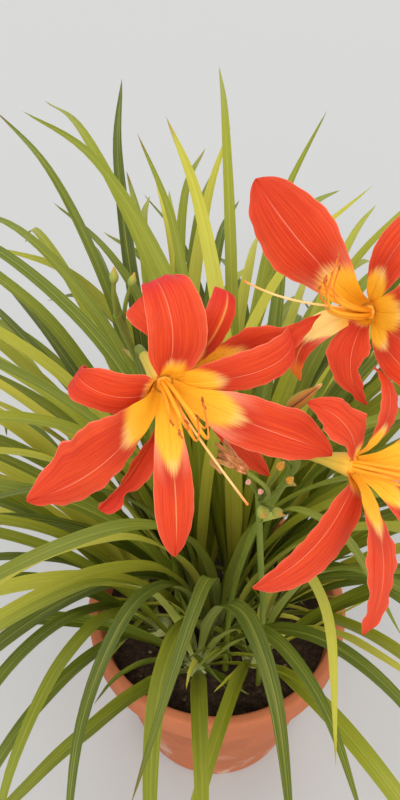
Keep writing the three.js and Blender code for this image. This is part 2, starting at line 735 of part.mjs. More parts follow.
const SCAPES = [
  {
    name: "scape_front",
    thick: 3.5,
    sides: 6,
    points: [
      [-38, -30, HOLE_FLOOR + SEAT_GAP],
      [-38, -30, 205],
      [-38, -38, 330],
      [-44, -72, 500],
      [-48, -116, 640],
      [-50, -138, 705],
      [-56, -148, 742],
      [-60, -152, 762],
    ],
    blooms: { front: 0.86, rear: 0.8 },
    twigs: [
      { from: 1, to: [-60, -151, 785], thick: 1.3, bud: 8 },
      { from: 0.98, to: [-52, -143, 776], thick: 1.2, bud: 6 },
    ],
    bracts: [{ at: 0.9, length: 26, width: 9, compass: 200, rise: 75 }],
  },
  {
    name: "scape_upper",
    thick: 3.4,
    sides: 6,
    points: [
      [33, -14, HOLE_FLOOR + SEAT_GAP],
      [33, -14, 205],
      [36, -20, 330],
      [58, -44, 540],
      [84, -74, 680],
      [96, -92, 730],
    ],
    blooms: { upper: 0.95 },
    twigs: [
      { from: 1, to: [106, -96, 752], thick: 1.6, bud: 14 },
      { from: 0.97, to: [88, -84, 752], thick: 1.4, bud: 9 },
    ],
    bracts: [{ at: 0.93, length: 24, width: 8, compass: 60, rise: 60 }],
  },
  {
    name: "scape_lower",
    thick: 3.4,
    sides: 6,
    points: [
      [8, -58, HOLE_FLOOR + SEAT_GAP],
      [8, -58, 205],
      [10, -66, 330],
      [20, -112, 500],
      [32, -158, 620],
      [37, -174, 664],
    ],
    blooms: { lower: 0.96 },
    twigs: [{ from: 0.99, via: [17, -184.5, 711.5], to: [28, -180.5, 719.5], thick: 1.6, bud: 0 }],
    bracts: [{ at: 0.92, length: 24, width: 8, compass: 300, rise: 62 }],
  },
  {
    name: "scape_spent",
    thick: 3.2,
    sides: 6,
    points: [
      [40, -74, HOLE_FLOOR + SEAT_GAP],
      [40, -74, 205],
      [38, -84, 330],
      [28, -128, 480],
      [20, -166, 600],
      [17, -181, 646],
    ],
    blooms: {},
    twigs: [
      { from: 1, to: [10, -189, 669], thick: 1.4, bud: 0 },
      { from: 0.99, to: [17, -192, 664], thick: 1.4, bud: 0 },
      { from: 0.95, via: [17, -214, 698], to: [8, -209, 703], thick: 1.4, bud: 0 },
      { from: 0.97, to: [27, -184, 674], thick: 1.2, bud: 0 },
      { from: 0.95, to: [32, -189, 669], thick: 1.2, bud: 0 },
      { from: 0.98, to: [18, -199, 656], thick: 1.3, bud: 13, fat: 3.8 },
      { from: 0.96, to: [26, -197, 652], thick: 1.3, bud: 9, fat: 3.2 },
    ],
    bracts: [{ at: 0.9, length: 22, width: 8, compass: 340, rise: 50 }],
  },
];

function scapeCurve(scape) {
  const points = scape.points.map((p) => vec(...p));
  return new THREE.CatmullRomCurve3(points, false, "centripetal");
}

/** A twig's path from its scape, with its end and the way it points there. */
function twigRoute(curve, twig) {
  const start = curve.getPointAt(twig.from);
  const end = vec(...twig.to);
  const halfway = sum(start.clone().lerp(end, 0.5), [curve.getTangentAt(twig.from), 3]);
  const middle = twig.via ? vec(...twig.via) : halfway;
  return { path: [start, middle, end], end, along: end.clone().sub(middle).normalize() };
}

function scapeSolid(scape) {
  const curve = scapeCurve(scape);
  const radiusAt = (t) => scape.thick * mix(1, 0.66, t);
  const pieces = [stem(curve.points, radiusAt, scape.sides, 11)];
  for (const [bloom, share] of Object.entries(scape.blooms)) {
    const start = curve.getPointAt(share);
    const { at, forward } = stalkEnd(bloom);
    const path = [start, sum(start.clone().lerp(at, 0.45), [vec(0, 0, 1), 2]), sum(at, [forward, -7]), at];
    pieces.push(stem(path, (t) => mix(1.9, 2.5, t), 6, 4));
  }
  for (const twig of scape.twigs) {
    const { path, end, along } = twigRoute(curve, twig);
    pieces.push(stem(path, () => twig.thick, 4, twig.via ? 4 : 2));
    if (twig.bud) {
      const fat = twig.fat ?? twig.thick * 1.9;
      pieces.push(spindle(sum(end, [along, -2]), sum(end, [along, twig.bud]), fat, 6));
    }
  }
  for (const bract of scape.bracts) {
    const start = curve.getPointAt(bract.at);
    const compass = bract.compass * DEG;
    const rise = bract.rise * DEG;
    const out = vec(Math.cos(compass), Math.sin(compass), 0);
    const along = sum(vec(0, 0, Math.sin(rise)), [out, Math.cos(rise)]);
    const side = vec(-Math.sin(compass), Math.cos(compass), 0);
    const face = along.clone().cross(side);
    const rings = [0, 0.3, 0.65].map((t) => {
      const half = (bract.width / 2) * [0.7, 1, 0.7][Math.round(t / 0.325)];
      const at = sum(start, [along, bract.length * t], [face, -4 * t * t]);
      return [
        sum(at, [face, -0.7]),
        sum(at, [side, half], [face, half * 0.4]),
        sum(at, [face, 0.7]),
        sum(at, [side, -half], [face, half * 0.4]),
      ];
    });
    pieces.push(loft(rings, sum(start, [along, bract.length], [face, -4])));
  }
  return cleaned(fused(pieces.map(solidOf)));
}

// ---------------------------------------------------------------- buds and the withered bloom

/** Buds in the blooms' own colour: the twig that carries each, and its size. */
const BUDS = [
  { name: "bud_ripe", scape: "scape_lower", twig: 0, length: 24, radius: 4.2 },
  { name: "bud_small_1", scape: "scape_spent", twig: 3, length: 9, radius: 2.5 },
  { name: "bud_small_2", scape: "scape_spent", twig: 4, length: 8, radius: 2.3 },
];
const BUD_GAP = 0.5; // to the end of its twig

function twigOf(scapeName, twig) {
  const scape = SCAPES.find(({ name }) => name === scapeName);
  return twigRoute(scapeCurve(scape), scape.twigs[twig]);
}

function budSolid(bud) {
  const { end, along } = twigOf(bud.scape, bud.twig);
  const from = sum(end, [along, BUD_GAP]);
  return spindle(from, sum(from, [along, bud.length]), bud.radius, 7);
}

/** A spent bloom: limp strands that curl back from a shrunken core. */
function witheredBloom() {
  const { end, along } = twigOf("scape_spent", 2);
  const foot = sum(end, [along, BUD_GAP]);
  const level = along.clone().cross(vec(0, 0, 1)).normalize();
  const over = level.clone().cross(along);
  const pieces = [spindle(foot, sum(foot, [along, 13]), 3.6, 6)];
  for (let k = 0; k < 4; k++) {
    const turn = (90 * k + 20) * DEG;
    const out = sum(vec(0, 0, 0), [level, Math.cos(turn)], [over, Math.sin(turn)]);
    const reach = mix(15, 23, draw(k + 40));
    const path = [
      sum(foot, [along, 5], [out, 1.2]),
      sum(foot, [along, reach * 0.7], [out, 4]),
      sum(foot, [along, reach], [out, 7]),
      sum(foot, [along, reach * 0.55], [out, 9]),
    ];
    pieces.push(stem(path, (t) => mix(2, 0.8, t), 4, 4));
  }
  return cleaned(fused(pieces.map(solidOf)));
}

// ---------------------------------------------------------------- the plant

const plant = new THREE.Group();

function addPiece(name, geometry, colour, roughness) {
  const material = new THREE.MeshStandardMaterial({ color: colour, roughness, metalness: 0 });
  const mesh = new THREE.Mesh(geometry, material);
  mesh.name = name;
  plant.add(mesh);
}

addPiece("pot", makePot(), "#b5653f", 0.85);
addPiece("soil", makeSoil(), "#3a2a1e", 0.95);

const scapes = SCAPES.map((scape) => ({ name: scape.name, solid: scapeSolid(scape) }));
for (const { name, solid } of scapes) addPiece(name, geometryFrom(solid), "#7d9a52", 0.6);

const blooms = [];
for (const [name, bloom] of Object.entries(BLOOMS)) {
  const tepals = tepalsOf(bloom);
  const stamens = stamensOf(bloom);
  blooms.push(tepals, stamens);
  addPiece(`bloom_${name}_tepals`, geometryFrom(tepals), "#ee4b24", 0.55);
  addPiece(`bloom_${name}_stamens`, geometryFrom(stamens), "#f5b65a", 0.55);
}

for (const bud of BUDS) {
  const geometry = budSolid(bud);
  blooms.push(solidOf(geometry));
  addPiece(bud.name, geometry, "#d98a35", 0.55);
}
const withered = witheredBloom();
blooms.push(withered);
addPiece("withered_bloom", geometryFrom(withered), "#b0735a", 0.8);

const fans = growFans([...scapes.map(({ solid }) => solid), ...blooms]);
fans.forEach((leaves, i) => {
  const fan = fused([crownOf(FANS[i]), ...leaves.map(({ whole }) => whole)]);
  addPiece(`leaf_fan_${i + 1}`, geometryFrom(fan), "#8fa038", 0.6);
});

export default plant;
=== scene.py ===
"""The looks of the potted daylily: fine leaves, blooms, stalks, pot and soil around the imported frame.

Sizes are in millimetres until a mesh is made. Each leaf and tepal follows the same formula as its solid.
"""

import math

import bpy
import numpy as np
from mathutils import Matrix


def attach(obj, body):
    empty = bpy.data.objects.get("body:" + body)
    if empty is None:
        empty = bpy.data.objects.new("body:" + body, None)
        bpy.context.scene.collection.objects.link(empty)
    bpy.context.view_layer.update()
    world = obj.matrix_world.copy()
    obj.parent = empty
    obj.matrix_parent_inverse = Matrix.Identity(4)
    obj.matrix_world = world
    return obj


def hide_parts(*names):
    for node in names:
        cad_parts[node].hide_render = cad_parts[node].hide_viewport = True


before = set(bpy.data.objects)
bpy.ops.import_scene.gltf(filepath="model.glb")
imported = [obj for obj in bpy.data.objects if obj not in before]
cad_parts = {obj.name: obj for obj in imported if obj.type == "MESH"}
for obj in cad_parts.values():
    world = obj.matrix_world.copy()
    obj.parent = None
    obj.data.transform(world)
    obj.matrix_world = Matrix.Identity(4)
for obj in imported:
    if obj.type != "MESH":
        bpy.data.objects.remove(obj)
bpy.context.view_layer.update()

MM = 0.001

# ---------------------------------------------------------------- sizes of the solids

POT = {"height": 220, "base": 86, "shoulder": 118, "rim": 130, "rim_height": 36, "wall": 9, "floor": 12}
DRAIN = {"radius": 6, "ring": 50, "count": 3}
SOIL = {"top": 192, "crown": 5, "gap": 0.5, "hole_floor": 150}
CROWN = {"radius": 14, "neck": 11, "top": 204}
LEAF_SEGMENTS = 6
LEAF_KEEL = 1.1
LEAF_TRIES = 40
FAN_LEAVES = {"front": 9, "side": 18, "back": 24, "middle": 27}

TEPAL_ROWS = 8
CURLED_ROWS = 9
PETAL_FOOT = 5.3
SEPAL_FOOT = 6.2
THROAT_ANGLE = 15
THROAT_SHARE = 0.1
CUP_SHARE = 0.3
TUBE = {"length": 28, "neck": 2.7, "mouth": 7.2, "bore": 4.6, "bore_depth": 9}
SEAT_GAP = 0.3
BUD_GAP = 0.5
PLUG_TOP = -3

FANS = []
for i in range(6):
    facing = 10 + 60 * i
    back = math.sin(math.radians(facing))
    place = "back" if back > 0.5 else "front" if back < -0.5 else "side"
    FANS.append({
        "ring": 58, "facing": facing, "spread": 62, "leaves": FAN_LEAVES[place],
        "launch": (56, 84), "length": (440, 600), "droop": (130, 62) if place == "back" else (148, 74),
    })
for facing in (42, 138, 270):
    FANS.append({
        "ring": 24, "facing": facing, "spread": 90,
        "leaves": FAN_LEAVES["middle" if facing < 180 else "side"],
        "launch": (70, 86), "length": (540, 660), "droop": (130, 78),
    })

# A tepal's flame is the share of its length that stays yellow along its middle, flare how much of that is
# lost towards its edges, and lean how unevenly. From 0 to 1, midrib makes its midrib broad, crimson and
# orange colour its end, and freckled puts dark freckles in its flame. Pale gives its flame a pink fringe
# up to 0.5, and beyond that a pale face as well. Flame and flare are 0.4 where they aren't given.
# A bump [u, s, height, breadth, length] lifts the surface near a place, and crisp ruffles its end.
BLOOMS = {
    "front": {
        "at": (-35, -195, 756.5), "faces": (23, 13),
        "style": {"length": 106, "side": -3, "sag": 2.5, "lift": 6.5}, "stamens": (1, 0),
        "tepals": [
            dict(az=82, side=20, length=73, width=30, open=62, bend=88, curl=146, base=0.35, wide=0.33,
                 tip=2.7, skew=-0.2, flame=0.22, flare=0.75, lean=0.3, crimson=1, crisp=1.1,
                 bumps=[(-0.5, 0.72, 2.4, 0.4, 0.09), (0.35, 0.7, -1.4, 0.3, 0.09)]),
            dict(az=181, side=-49, drift=0.5, length=61, width=22, open=61, bend=85, curl=190, base=0.52,
                 wide=0.21, tip=3.4, outer=1, skew=-0.14,
                 lobes=[(-1, 0.8, -0.48, 0.1), (1, 0.75, 0.36, 0.12)],
                 flame=0.16, flare=0.25, crimson=0.6, crisp=0.4),
            dict(az=206, side=-39, drift=0.8, length=94, width=38, open=48, bend=34, wide=0.65, tip=1.8,
                 ruffle=1, skew=-0.3,
                 lobes=[(-1, 0.8, 0.2, 0.05), (1, 0.5, -0.12, 0.06), (1, 0.9, -0.35, 0.09)],
                 flame=0.39, flare=0.3),
            dict(az=258, side=3, length=87, width=21.4, open=52, bend=40, base=0.55, wide=0.6, outer=1,
                 skew=-0.06, flame=0.46, flare=0.46, midrib=0.4, pale=0.5),
            dict(az=330, side=-22, drift=6, length=93, width=29, open=50, bend=42, wide=0.5, tip=1.9,
                 ruffle=0.8, lobes=[(1, 0.72, 0.22, 0.1)], flame=0.43, flare=0.42,
                 pale=0.5),
            dict(az=7, side=10, length=80, width=23, open=52, bend=60, curl=110, base=0.55, wide=0.5, tip=3,
                 outer=1, skew=0.2, flame=0.33, lean=0.4, crimson=0.3),
        ],
    },
    "rear": {
        "at": (-28, -169.5, 732.5), "faces": (20, 18),
        "style": {"length": 34, "side": 0, "sag": 1, "lift": 0}, "stamens": (0.45, 0),
        "tepals": [
            dict(az=27, side=-5, length=80, width=27, open=55, bend=35, base=0.4, wide=0.42, tip=1.2,
                 ruffle=1.4, skew=-0.1, lobes=[(1, 0.56, 0.4, 0.11), (1, 0.78, -0.4, 0.08)],
                 flame=0.5, flare=0.35, freckled=1),
            dict(az=63, side=-12, length=67, width=17, open=51, bend=54, curl=138, base=0.25, wide=0.5,
                 tip=3.4, outer=1, skew=0.25, flame=0.36, flare=0.6, midrib=1.4, crimson=0.7),
            dict(az=103, side=6, length=54, width=23, open=70, bend=66, curl=60, base=0.2, wide=0.8, tip=3,
                 lobes=[(1, 0.55, -0.35, 0.15)], flame=0.2),
            dict(az=176, side=0, length=53, width=17, open=75, bend=60, curl=60, outer=1, flame=0.3),
            dict(az=223, side=-3, length=78, width=19, open=60, bend=40, fold=50, ruffle=1.6, tip=5,
                 lobes=[(1, 0.66, 0.15, 0.06), (1, 0.8, -0.4, 0.06)],
                 flame=0.3, flare=0.5, midrib=0.6, pale=0.5, crimson=0.3),
            dict(az=301, side=0, length=77, width=12, open=66, bend=40, outer=1, flare=0.5),
        ],
    },
    "upper": {
        "at": (73, -135.5, 749), "faces": (-42, 28),
        "style": {"length": 106, "side": -17, "sag": -6, "lift": 19, "power": 3}, "stamens": (1, 9),
        "tepals": [
            dict(az=148, side=7, length=92, width=44, open=52, bend=50, ruffle=1.4, flame=0.33, flare=0.3,
                 pale=0.25),
            dict(az=220, side=80, drift=1.35, length=61, width=15, open=50, bend=85, base=0.6, wide=0.35,
                 outer=1, skew=-0.1, flame=0.55, flare=0.3, lean=0.6, midrib=1, pale=1, orange=1),
            dict(az=282, side=59, drift=1.5, length=51, width=26, open=50, bend=56, base=0.43, wide=0.41,
                 tip=1.1, ruffle=1, skew=-0.2, lobes=[(1, 0.62, -0.46, 0.12), (-1, 0.82, -0.49, 0.1)],
                 flame=0.08),
            dict(az=342, side=8, length=60, width=20, open=45, bend=100, outer=1),
            dict(az=30, side=0, length=90, width=34, open=45, bend=70, ruffle=1),
            dict(az=78, side=0, length=80, width=21, open=45, bend=100, curl=60, outer=1),
        ],
    },
    "lower": {
        "at": (63, -206.5, 706), "faces": (55, 20),
        "style": {"length": 96, "side": 6, "sag": 2.5, "lift": 14}, "stamens": (1, 4),
        "tepals": [
            dict(az=100, side=30, length=61, width=32, open=70, bend=60, base=0.11, wide=0.37, tip=1.2,
                 ruffle=1.2, lobes=[(1, 0.35, -0.61, 0.2), (-1, 0.55, -0.19, 0.15)],
                 flame=0.2),
            dict(az=48, side=-10, length=58, width=19, open=45, bend=120, outer=1),
            dict(az=188, side=-5, length=86, width=31, open=79, bend=54, wide=0.31, tip=2.6, outer=1,
                 skew=0.37, flame=0.1),
            dict(az=225, side=0, length=88, width=30, open=45, bend=70, ruffle=1),
            dict(az=284, side=0, length=82, width=20, open=45, bend=80, outer=1),
            dict(az=345, side=0, length=88, width=30, open=45, bend=70, ruffle=1),
        ],
    },
}

# Where each stamen leaves the throat, turns upwards and carries its anther: forward, right and up.
STAMENS = [
    (0, (52, 1.5, 1), (59, -1, 28)),
    (60, (49, 1.5, 5), (56, 0.5, 22)),
    (120, (43, -5, 3.5), (50, -6.5, 12)),
    (180, (36, -9.5, 4), (42, -11, 8)),
    (240, (40, -7, -2.5), (47, -9.5, 5)),
    (300, (46, -2, -3), (54, -2.5, 16)),
]

SCAPES = {
    "scape_front": {
        "thick": 3.5,
        "points": [(-38, -30, 150.3), (-38, -30, 205), (-38, -38, 330), (-44, -72, 500), (-48, -116, 640),
                   (-50, -138, 705), (-56, -148, 742), (-60, -152, 762)],
        "blooms": {"front": 0.86, "rear": 0.8},
        "twigs": [dict(start=1, to=(-60, -151, 785), thick=1.3, bud=8),
                  dict(start=0.98, to=(-52, -143, 776), thick=1.2, bud=6)],
        "bract": dict(at=0.9, length=26, width=9, compass=200, rise=75),
    },
    "scape_upper": {
        "thick": 3.4,
        "points": [(33, -14, 150.3), (33, -14, 205), (36, -20, 330), (58, -44, 540), (84, -74, 680),
                   (96, -92, 730)],
        "blooms": {"upper": 0.95},
        "twigs": [dict(start=1, to=(106, -96, 752), thick=1.6, bud=14),
                  dict(start=0.97, to=(88, -84, 752), thick=1.4, bud=9)],
        "bract": dict(at=0.93, length=24, width=8, compass=60, rise=60),
    },
    "scape_lower": {
        "thick": 3.4,
        "points": [(8, -58, 150.3), (8, -58, 205), (10, -66, 330), (20, -112, 500), (32, -158, 620),
                   (37, -174, 664)],
        "blooms": {"lower": 0.96},
        "twigs": [dict(start=0.99, via=(17, -184.5, 711.5), to=(28, -180.5, 719.5), thick=1.6)],
        "bract": dict(at=0.92, length=24, width=8, compass=300, rise=62),
    },
    "scape_spent": {
        "thick": 3.2,
        "points": [(40, -74, 150.3), (40, -74, 205), (38, -84, 330), (28, -128, 480), (20, -166, 600),
                   (17, -181, 646)],
        "blooms": {},
        "twigs": [dict(start=1, to=(10, -189, 669), thick=1.4, stub=1),
                  dict(start=0.99, to=(17, -192, 664), thick=1.4, stub=1),
                  dict(start=0.95, via=(17, -214, 698), to=(8, -209, 703), thick=1.4),
                  dict(start=0.97, to=(27, -184, 674), thick=1.2),
                  dict(start=0.95, to=(32, -189, 669), thick=1.2),
                  dict(start=0.98, to=(18, -199, 656), thick=1.3, bud=13, fat=3.8),
                  dict(start=0.96, to=(26, -197, 652), thick=1.3, bud=9, fat=3.2)],
        "bract": dict(at=0.9, length=22, width=8, compass=340, rise=50),
    },
}

BUDS = {
    "bud_ripe": dict(scape="scape_lower", twig=0, length=24, radius=4.2, turned=5.35),
    "bud_small_1": dict(scape="scape_spent", twig=3, length=9, radius=2.5, fresh=1),
    "bud_small_2": dict(scape="scape_spent", twig=4, length=8, radius=2.3, fresh=1),
}

# ---------------------------------------------------------------- how fine the looks are

LEAF_ROWS = 40
LEAF_ACROSS = 8
SHORT_LEAVES = 9
SHORT_LEAF_ROWS = 16
PETAL_ROWS = 56
PETAL_ACROSS = 26
CRUMBS = 620

# Thickness at the rim and in the middle, and the heights of what the surface carries.
LEAF_RELIEF = {"rim": 0.2, "spine": 0.75, "sink": 0.55, "wave": 0.45, "crease": 0.012}
TEPAL_RELIEF = {"rim": 0.12, "middle": 0.7, "groove": 0.4, "groove_width": 0.06, "frill": 0.3, "ruffle": 0.25}

# ---------------------------------------------------------------- camera, light and floor

AIM = np.array((-17.0, -202.0, 752.0))
ELEVATION = 48
DISTANCE = 500
LENS = 45.9
NEAREST = 0.01
FLOOR_SIZE = 200
SKY = {"colour": (0.93, 0.96, 1, 1), "strength": 1.05}


def linked(name, data):
    """A new object in the scene."""
    made = bpy.data.objects.new(name, data)
    bpy.context.scene.collection.objects.link(made)
    return made


def add_camera():
    rise = math.radians(ELEVATION)
    camera = linked("camera", bpy.data.cameras.new("camera"))
    camera.data.lens = LENS
    camera.data.clip_start = NEAREST
    camera.location = (AIM + DISTANCE * np.array((0, -math.cos(rise), math.sin(rise)))) * MM
    camera.rotation_euler = (math.pi / 2 - rise, 0, 0)
    bpy.context.scene.camera = camera


def add_light(name, place, aim, spread, power, colour=(1, 1, 1)):
    """A soft light that reaches the plant and the whole floor alike, as wide as its spread in degrees."""
    light = bpy.data.lights.new(name, "SUN")
    light.angle = math.radians(spread)
    light.energy = power
    light.color = colour
    lamp = linked(name, light)
    lamp.location = place
    towards = np.array(aim) - np.array(place)
    flat = math.hypot(towards[0], towards[1])
    lamp.rotation_euler = (math.atan2(flat, -towards[2]), 0, math.atan2(-towards[0], towards[1]))


def add_surroundings():
    add_light("key", (-0.4, -1.7, 2.5), (0, -0.1, 0.6), 32, 1.28, (1, 0.98, 0.94))
    add_light("fill", (2.0, -1.6, 1.4), (0, 0, 0.5), 50, 0.7, (0.97, 0.99, 1))
    add_light("back", (0.4, 2.3, 2.2), (0, 0, 0.5), 34, 0.5)
    world = bpy.data.worlds.new("studio")
    world.use_nodes = True
    background = world.node_tree.nodes["Background"]
    background.inputs["Color"].default_value = SKY["colour"]
    background.inputs["Strength"].default_value = SKY["strength"]
    bpy.context.scene.world = world
    bpy.context.scene.view_settings.view_transform = "Standard"

    bpy.ops.mesh.primitive_plane_add(size=FLOOR_SIZE)
    floor = bpy.context.object
    floor.name = "floor"
    paint = Paint("floor_paint", roughness=0.9)
    paint.set("Base Color", rgb(182, 181, 178))
    floor.data.materials.append(paint.material)


# ---------------------------------------------------------------- small helpers


def mix(a, b, t):
    return a + (b - a) * t


def draw(k):
    """The same number between 0 and 1 for the same k, as in the solids."""
    return math.sin(k * 12.9898) * 43758.5453 % 1


def vec(*numbers):
    return np.array(numbers, float)


def unit(v):
    return v / np.linalg.norm(v, axis=-1, keepdims=True)


def level_axes(angle):
    """The level directions at an angle in degrees and a quarter turn further."""
    turn = math.radians(angle)
    return vec(math.cos(turn), math.sin(turn), 0), vec(-math.sin(turn), math.cos(turn), 0)


def stacked(*parts):
    """Numbers and arrays of matching shapes, side by side along a new last axis."""
    return np.stack(np.broadcast_arrays(*parts), -1)


def once_round(sides):
    """Even angles round a full turn."""
    return np.linspace(0, 2 * math.pi, sides, endpoint=False)


def smoothstep(t):
    t = np.clip(t, 0, 1)
    return t * t * (3 - 2 * t)


def rgb(red, green, blue):
    """A screen colour, 0 to 255, as linear light."""
    def linear(c):
        c /= 255
        return c / 12.92 if c <= 0.04045 else ((c + 0.055) / 1.055) ** 2.4
    return (linear(red), linear(green), linear(blue), 1)


class Curve:
    """A centripetal Catmull-Rom curve through points, as the solids' stems follow."""

    def __init__(self, points, steps=24):
        points = np.array(points, float)
        padded = np.vstack([2 * points[0] - points[1], points, 2 * points[-1] - points[-2]])
        k = np.linspace(0, 1, steps, endpoint=False)[:, None]
        parts = []
        for x0, x1, x2, x3 in zip(padded, padded[1:], padded[2:], padded[3:]):
            d0, d1, d2 = (math.sqrt(np.linalg.norm(b - a)) for a, b in ((x0, x1), (x1, x2), (x2, x3)))
            leave = ((x1 - x0) / d0 - (x2 - x0) / (d0 + d1) + (x2 - x1) / d1) * d1
            arrive = ((x2 - x1) / d1 - (x3 - x1) / (d1 + d2) + (x3 - x2) / d2) * d1
            square = 3 * (x2 - x1) - 2 * leave - arrive
            cube = 2 * (x1 - x2) + leave + arrive
            parts.append(x1 + leave * k + square * k**2 + cube * k**3)
        self.track = np.vstack(parts + [points[-1:]])
        gaps = np.linalg.norm(np.diff(self.track, axis=0), axis=1)
        self.reach = np.concatenate([[0], np.cumsum(gaps)])

    def _sample(self, at, keys):
        return np.stack([np.interp(at, keys, self.track[:, axis]) for axis in range(3)], -1)

    def at(self, share):
        """Points at shares of the curve's length."""
        return self._sample(np.asarray(share) * self.reach[-1], self.reach)

    def through(self, share):
        """Points at shares of its parameter, which passes each given point at even steps."""
        return self._sample(np.asarray(share), np.linspace(0, 1, len(self.track)))

    def heading(self, share):
        return unit(self.at(min(1, share + 0.005)) - self.at(max(0, share - 0.005)))


def carried_axes(points):
    """Two unit vectors across a path for each of its points, that turn as little as they can."""
    along = unit(np.gradient(points, axis=0))
    first = np.cross(along[0], (0, 0, 1) if abs(along[0][2]) < 0.9 else (1, 0, 0))
    across = [unit(first)]
    for direction in along[1:]:
        kept = across[-1] - direction * across[-1].dot(direction)
        across.append(unit(kept))
    across = np.array(across)
    return across, np.cross(along, across)


def turned_rings(profile, sides):
    """Rings about +Z through a profile of radius and height."""
    turn = once_round(sides)
    radius, height = np.array(profile, float).T[..., None]
    return stacked(radius * np.cos(turn), radius * np.sin(turn), height)


MARKS = ("form", "tint", "trim", "tone")
PLAIN = (0, 0, 0)


class Skin:
    """One mesh gathered from closed skins, with four marks on each point that the materials read.

    Form says where the point lies on its leaf or stem. Tint, trim and tone, given together as up to nine
    numbers, hold what differs between one leaf or tepal and the next.
    """

    def __init__(self):
        self.points = []
        self.marks = []
        self.faces = []
        self.count = 0

    def _add(self, points, form, tint):
        points = np.asarray(points, float).reshape(-1, 3)
        first = self.count
        marks = np.zeros((len(points), 3 * len(MARKS)))
        marks[:, :3] = np.asarray(form, float).reshape(-1, 3)
        marks[:, 3:3 + len(tint)] = tint
        self.points.append(points)
        self.marks.append(marks)
        self.count += len(points)
        return first

    def loop(self, rings, form=PLAIN, tint=PLAIN, end=None):
        """A skin over rings of points, closed by a fan at each end."""
        rows, around, _ = rings.shape
        form = np.broadcast_to(form, rings.shape)
        index = self._add(rings, form, tint) + np.arange(rows * around).reshape(rows, around)
        turned = np.roll(index, -1, axis=1)
        self.faces += np.stack([index[:-1], turned[:-1], turned[1:], index[1:]], -1).reshape(-1, 4).tolist()
        tip = self._add(rings[0].mean(0), form[0].mean(0), tint)
        self.faces += [(b, a, tip) for a, b in zip(index[0].tolist(), turned[0].tolist())]
        tip = self._add(rings[-1].mean(0) if end is None else end, form[-1].mean(0), tint)
        self.faces += [(a, b, tip) for a, b in zip(index[-1].tolist(), turned[-1].tolist())]

    def sheet(self, at, side, face, reach, lift, thickness, s, u, tint, tip, kind=None):
        """A thin closed sheet, sharp at both rims, that ends in a tip.

        Its row s lies about the points at, and its columns u reach along side and lift along face from them.
        """
        side, face = np.atleast_2d(side)[:, None], np.atleast_2d(face)[:, None]
        middle = at[:, None] + side * reach[..., None] + face * lift[..., None]
        half = face * thickness[:, None] / 2
        rings = np.concatenate([(middle - half)[:, 1:-1], (middle + half)[:, ::-1]], 1)
        across = np.concatenate([u[1:-1], u[::-1]])
        upper = np.concatenate([np.zeros(len(u) - 2), np.ones(len(u))]) if kind is None else float(kind)
        self.loop(rings, stacked(s[:, None], across, upper), tint, end=tip)

    def tube(self, path, radius, sides, kind, tint=PLAIN, lobes=0, depth=0.0, turned=0.0):
        """A round or lobed stem along points, with a radius for each."""
        across, up = carried_axes(path)
        turn = once_round(sides)
        reach = np.asarray(radius)[:, None] * (1 - depth * (0.5 + 0.5 * np.cos(lobes * turn)))
        rings = path[:, None] + (reach * np.cos(turn + turned))[..., None] * across[:, None]
        rings = rings + (reach * np.sin(turn + turned))[..., None] * up[:, None]
        share = np.linspace(0, 1, len(path))[:, None]
        self.loop(rings, stacked(share, turn / (2 * math.pi), float(kind)), tint)

    def mesh(self, name):
        mesh = bpy.data.meshes.new(name)
        mesh.from_pydata((np.vstack(self.points) * MM).tolist(), [], self.faces)
        return mesh

    def piece(self, name, node, slot, paint, sharp=55):
        """Makes the object, which stands for its CAD node."""
        mesh = self.mesh(name)
        marks = np.vstack(self.marks).astype(np.float32)
        for k, mark in enumerate(MARKS):
            layer = mesh.attributes.new(mark, "FLOAT_VECTOR", "POINT")
            layer.data.foreach_set("vector", marks[:, 3 * k:3 * k + 3].ravel())
        mesh.shade_smooth()
        mesh.set_sharp_from_angle(angle=math.radians(sharp))
        mesh.materials.append(paint.material)
        made = linked(name, mesh)
        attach(made, "root")
        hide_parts(node)
        return made


class Signal:
    """A node's output that can be reckoned with: each operation adds a math node to its material."""

    def __init__(self, paint, socket):
        self.paint = paint
        self.socket = socket

    def __add__(self, other):
        return self.paint.math("ADD", self, other)

    def __sub__(self, other):
        return self.paint.math("SUBTRACT", self, other)

    def __rsub__(self, other):
        return self.paint.math("SUBTRACT", other, self)

    def __mul__(self, other):
        return self.paint.math("MULTIPLY", self, other)

    def __truediv__(self, other):
        return self.paint.math("DIVIDE", self, other)

    def __pow__(self, other):
        return self.paint.math("POWER", self, other)

    def __abs__(self):
        return self.paint.math("ABSOLUTE", self)


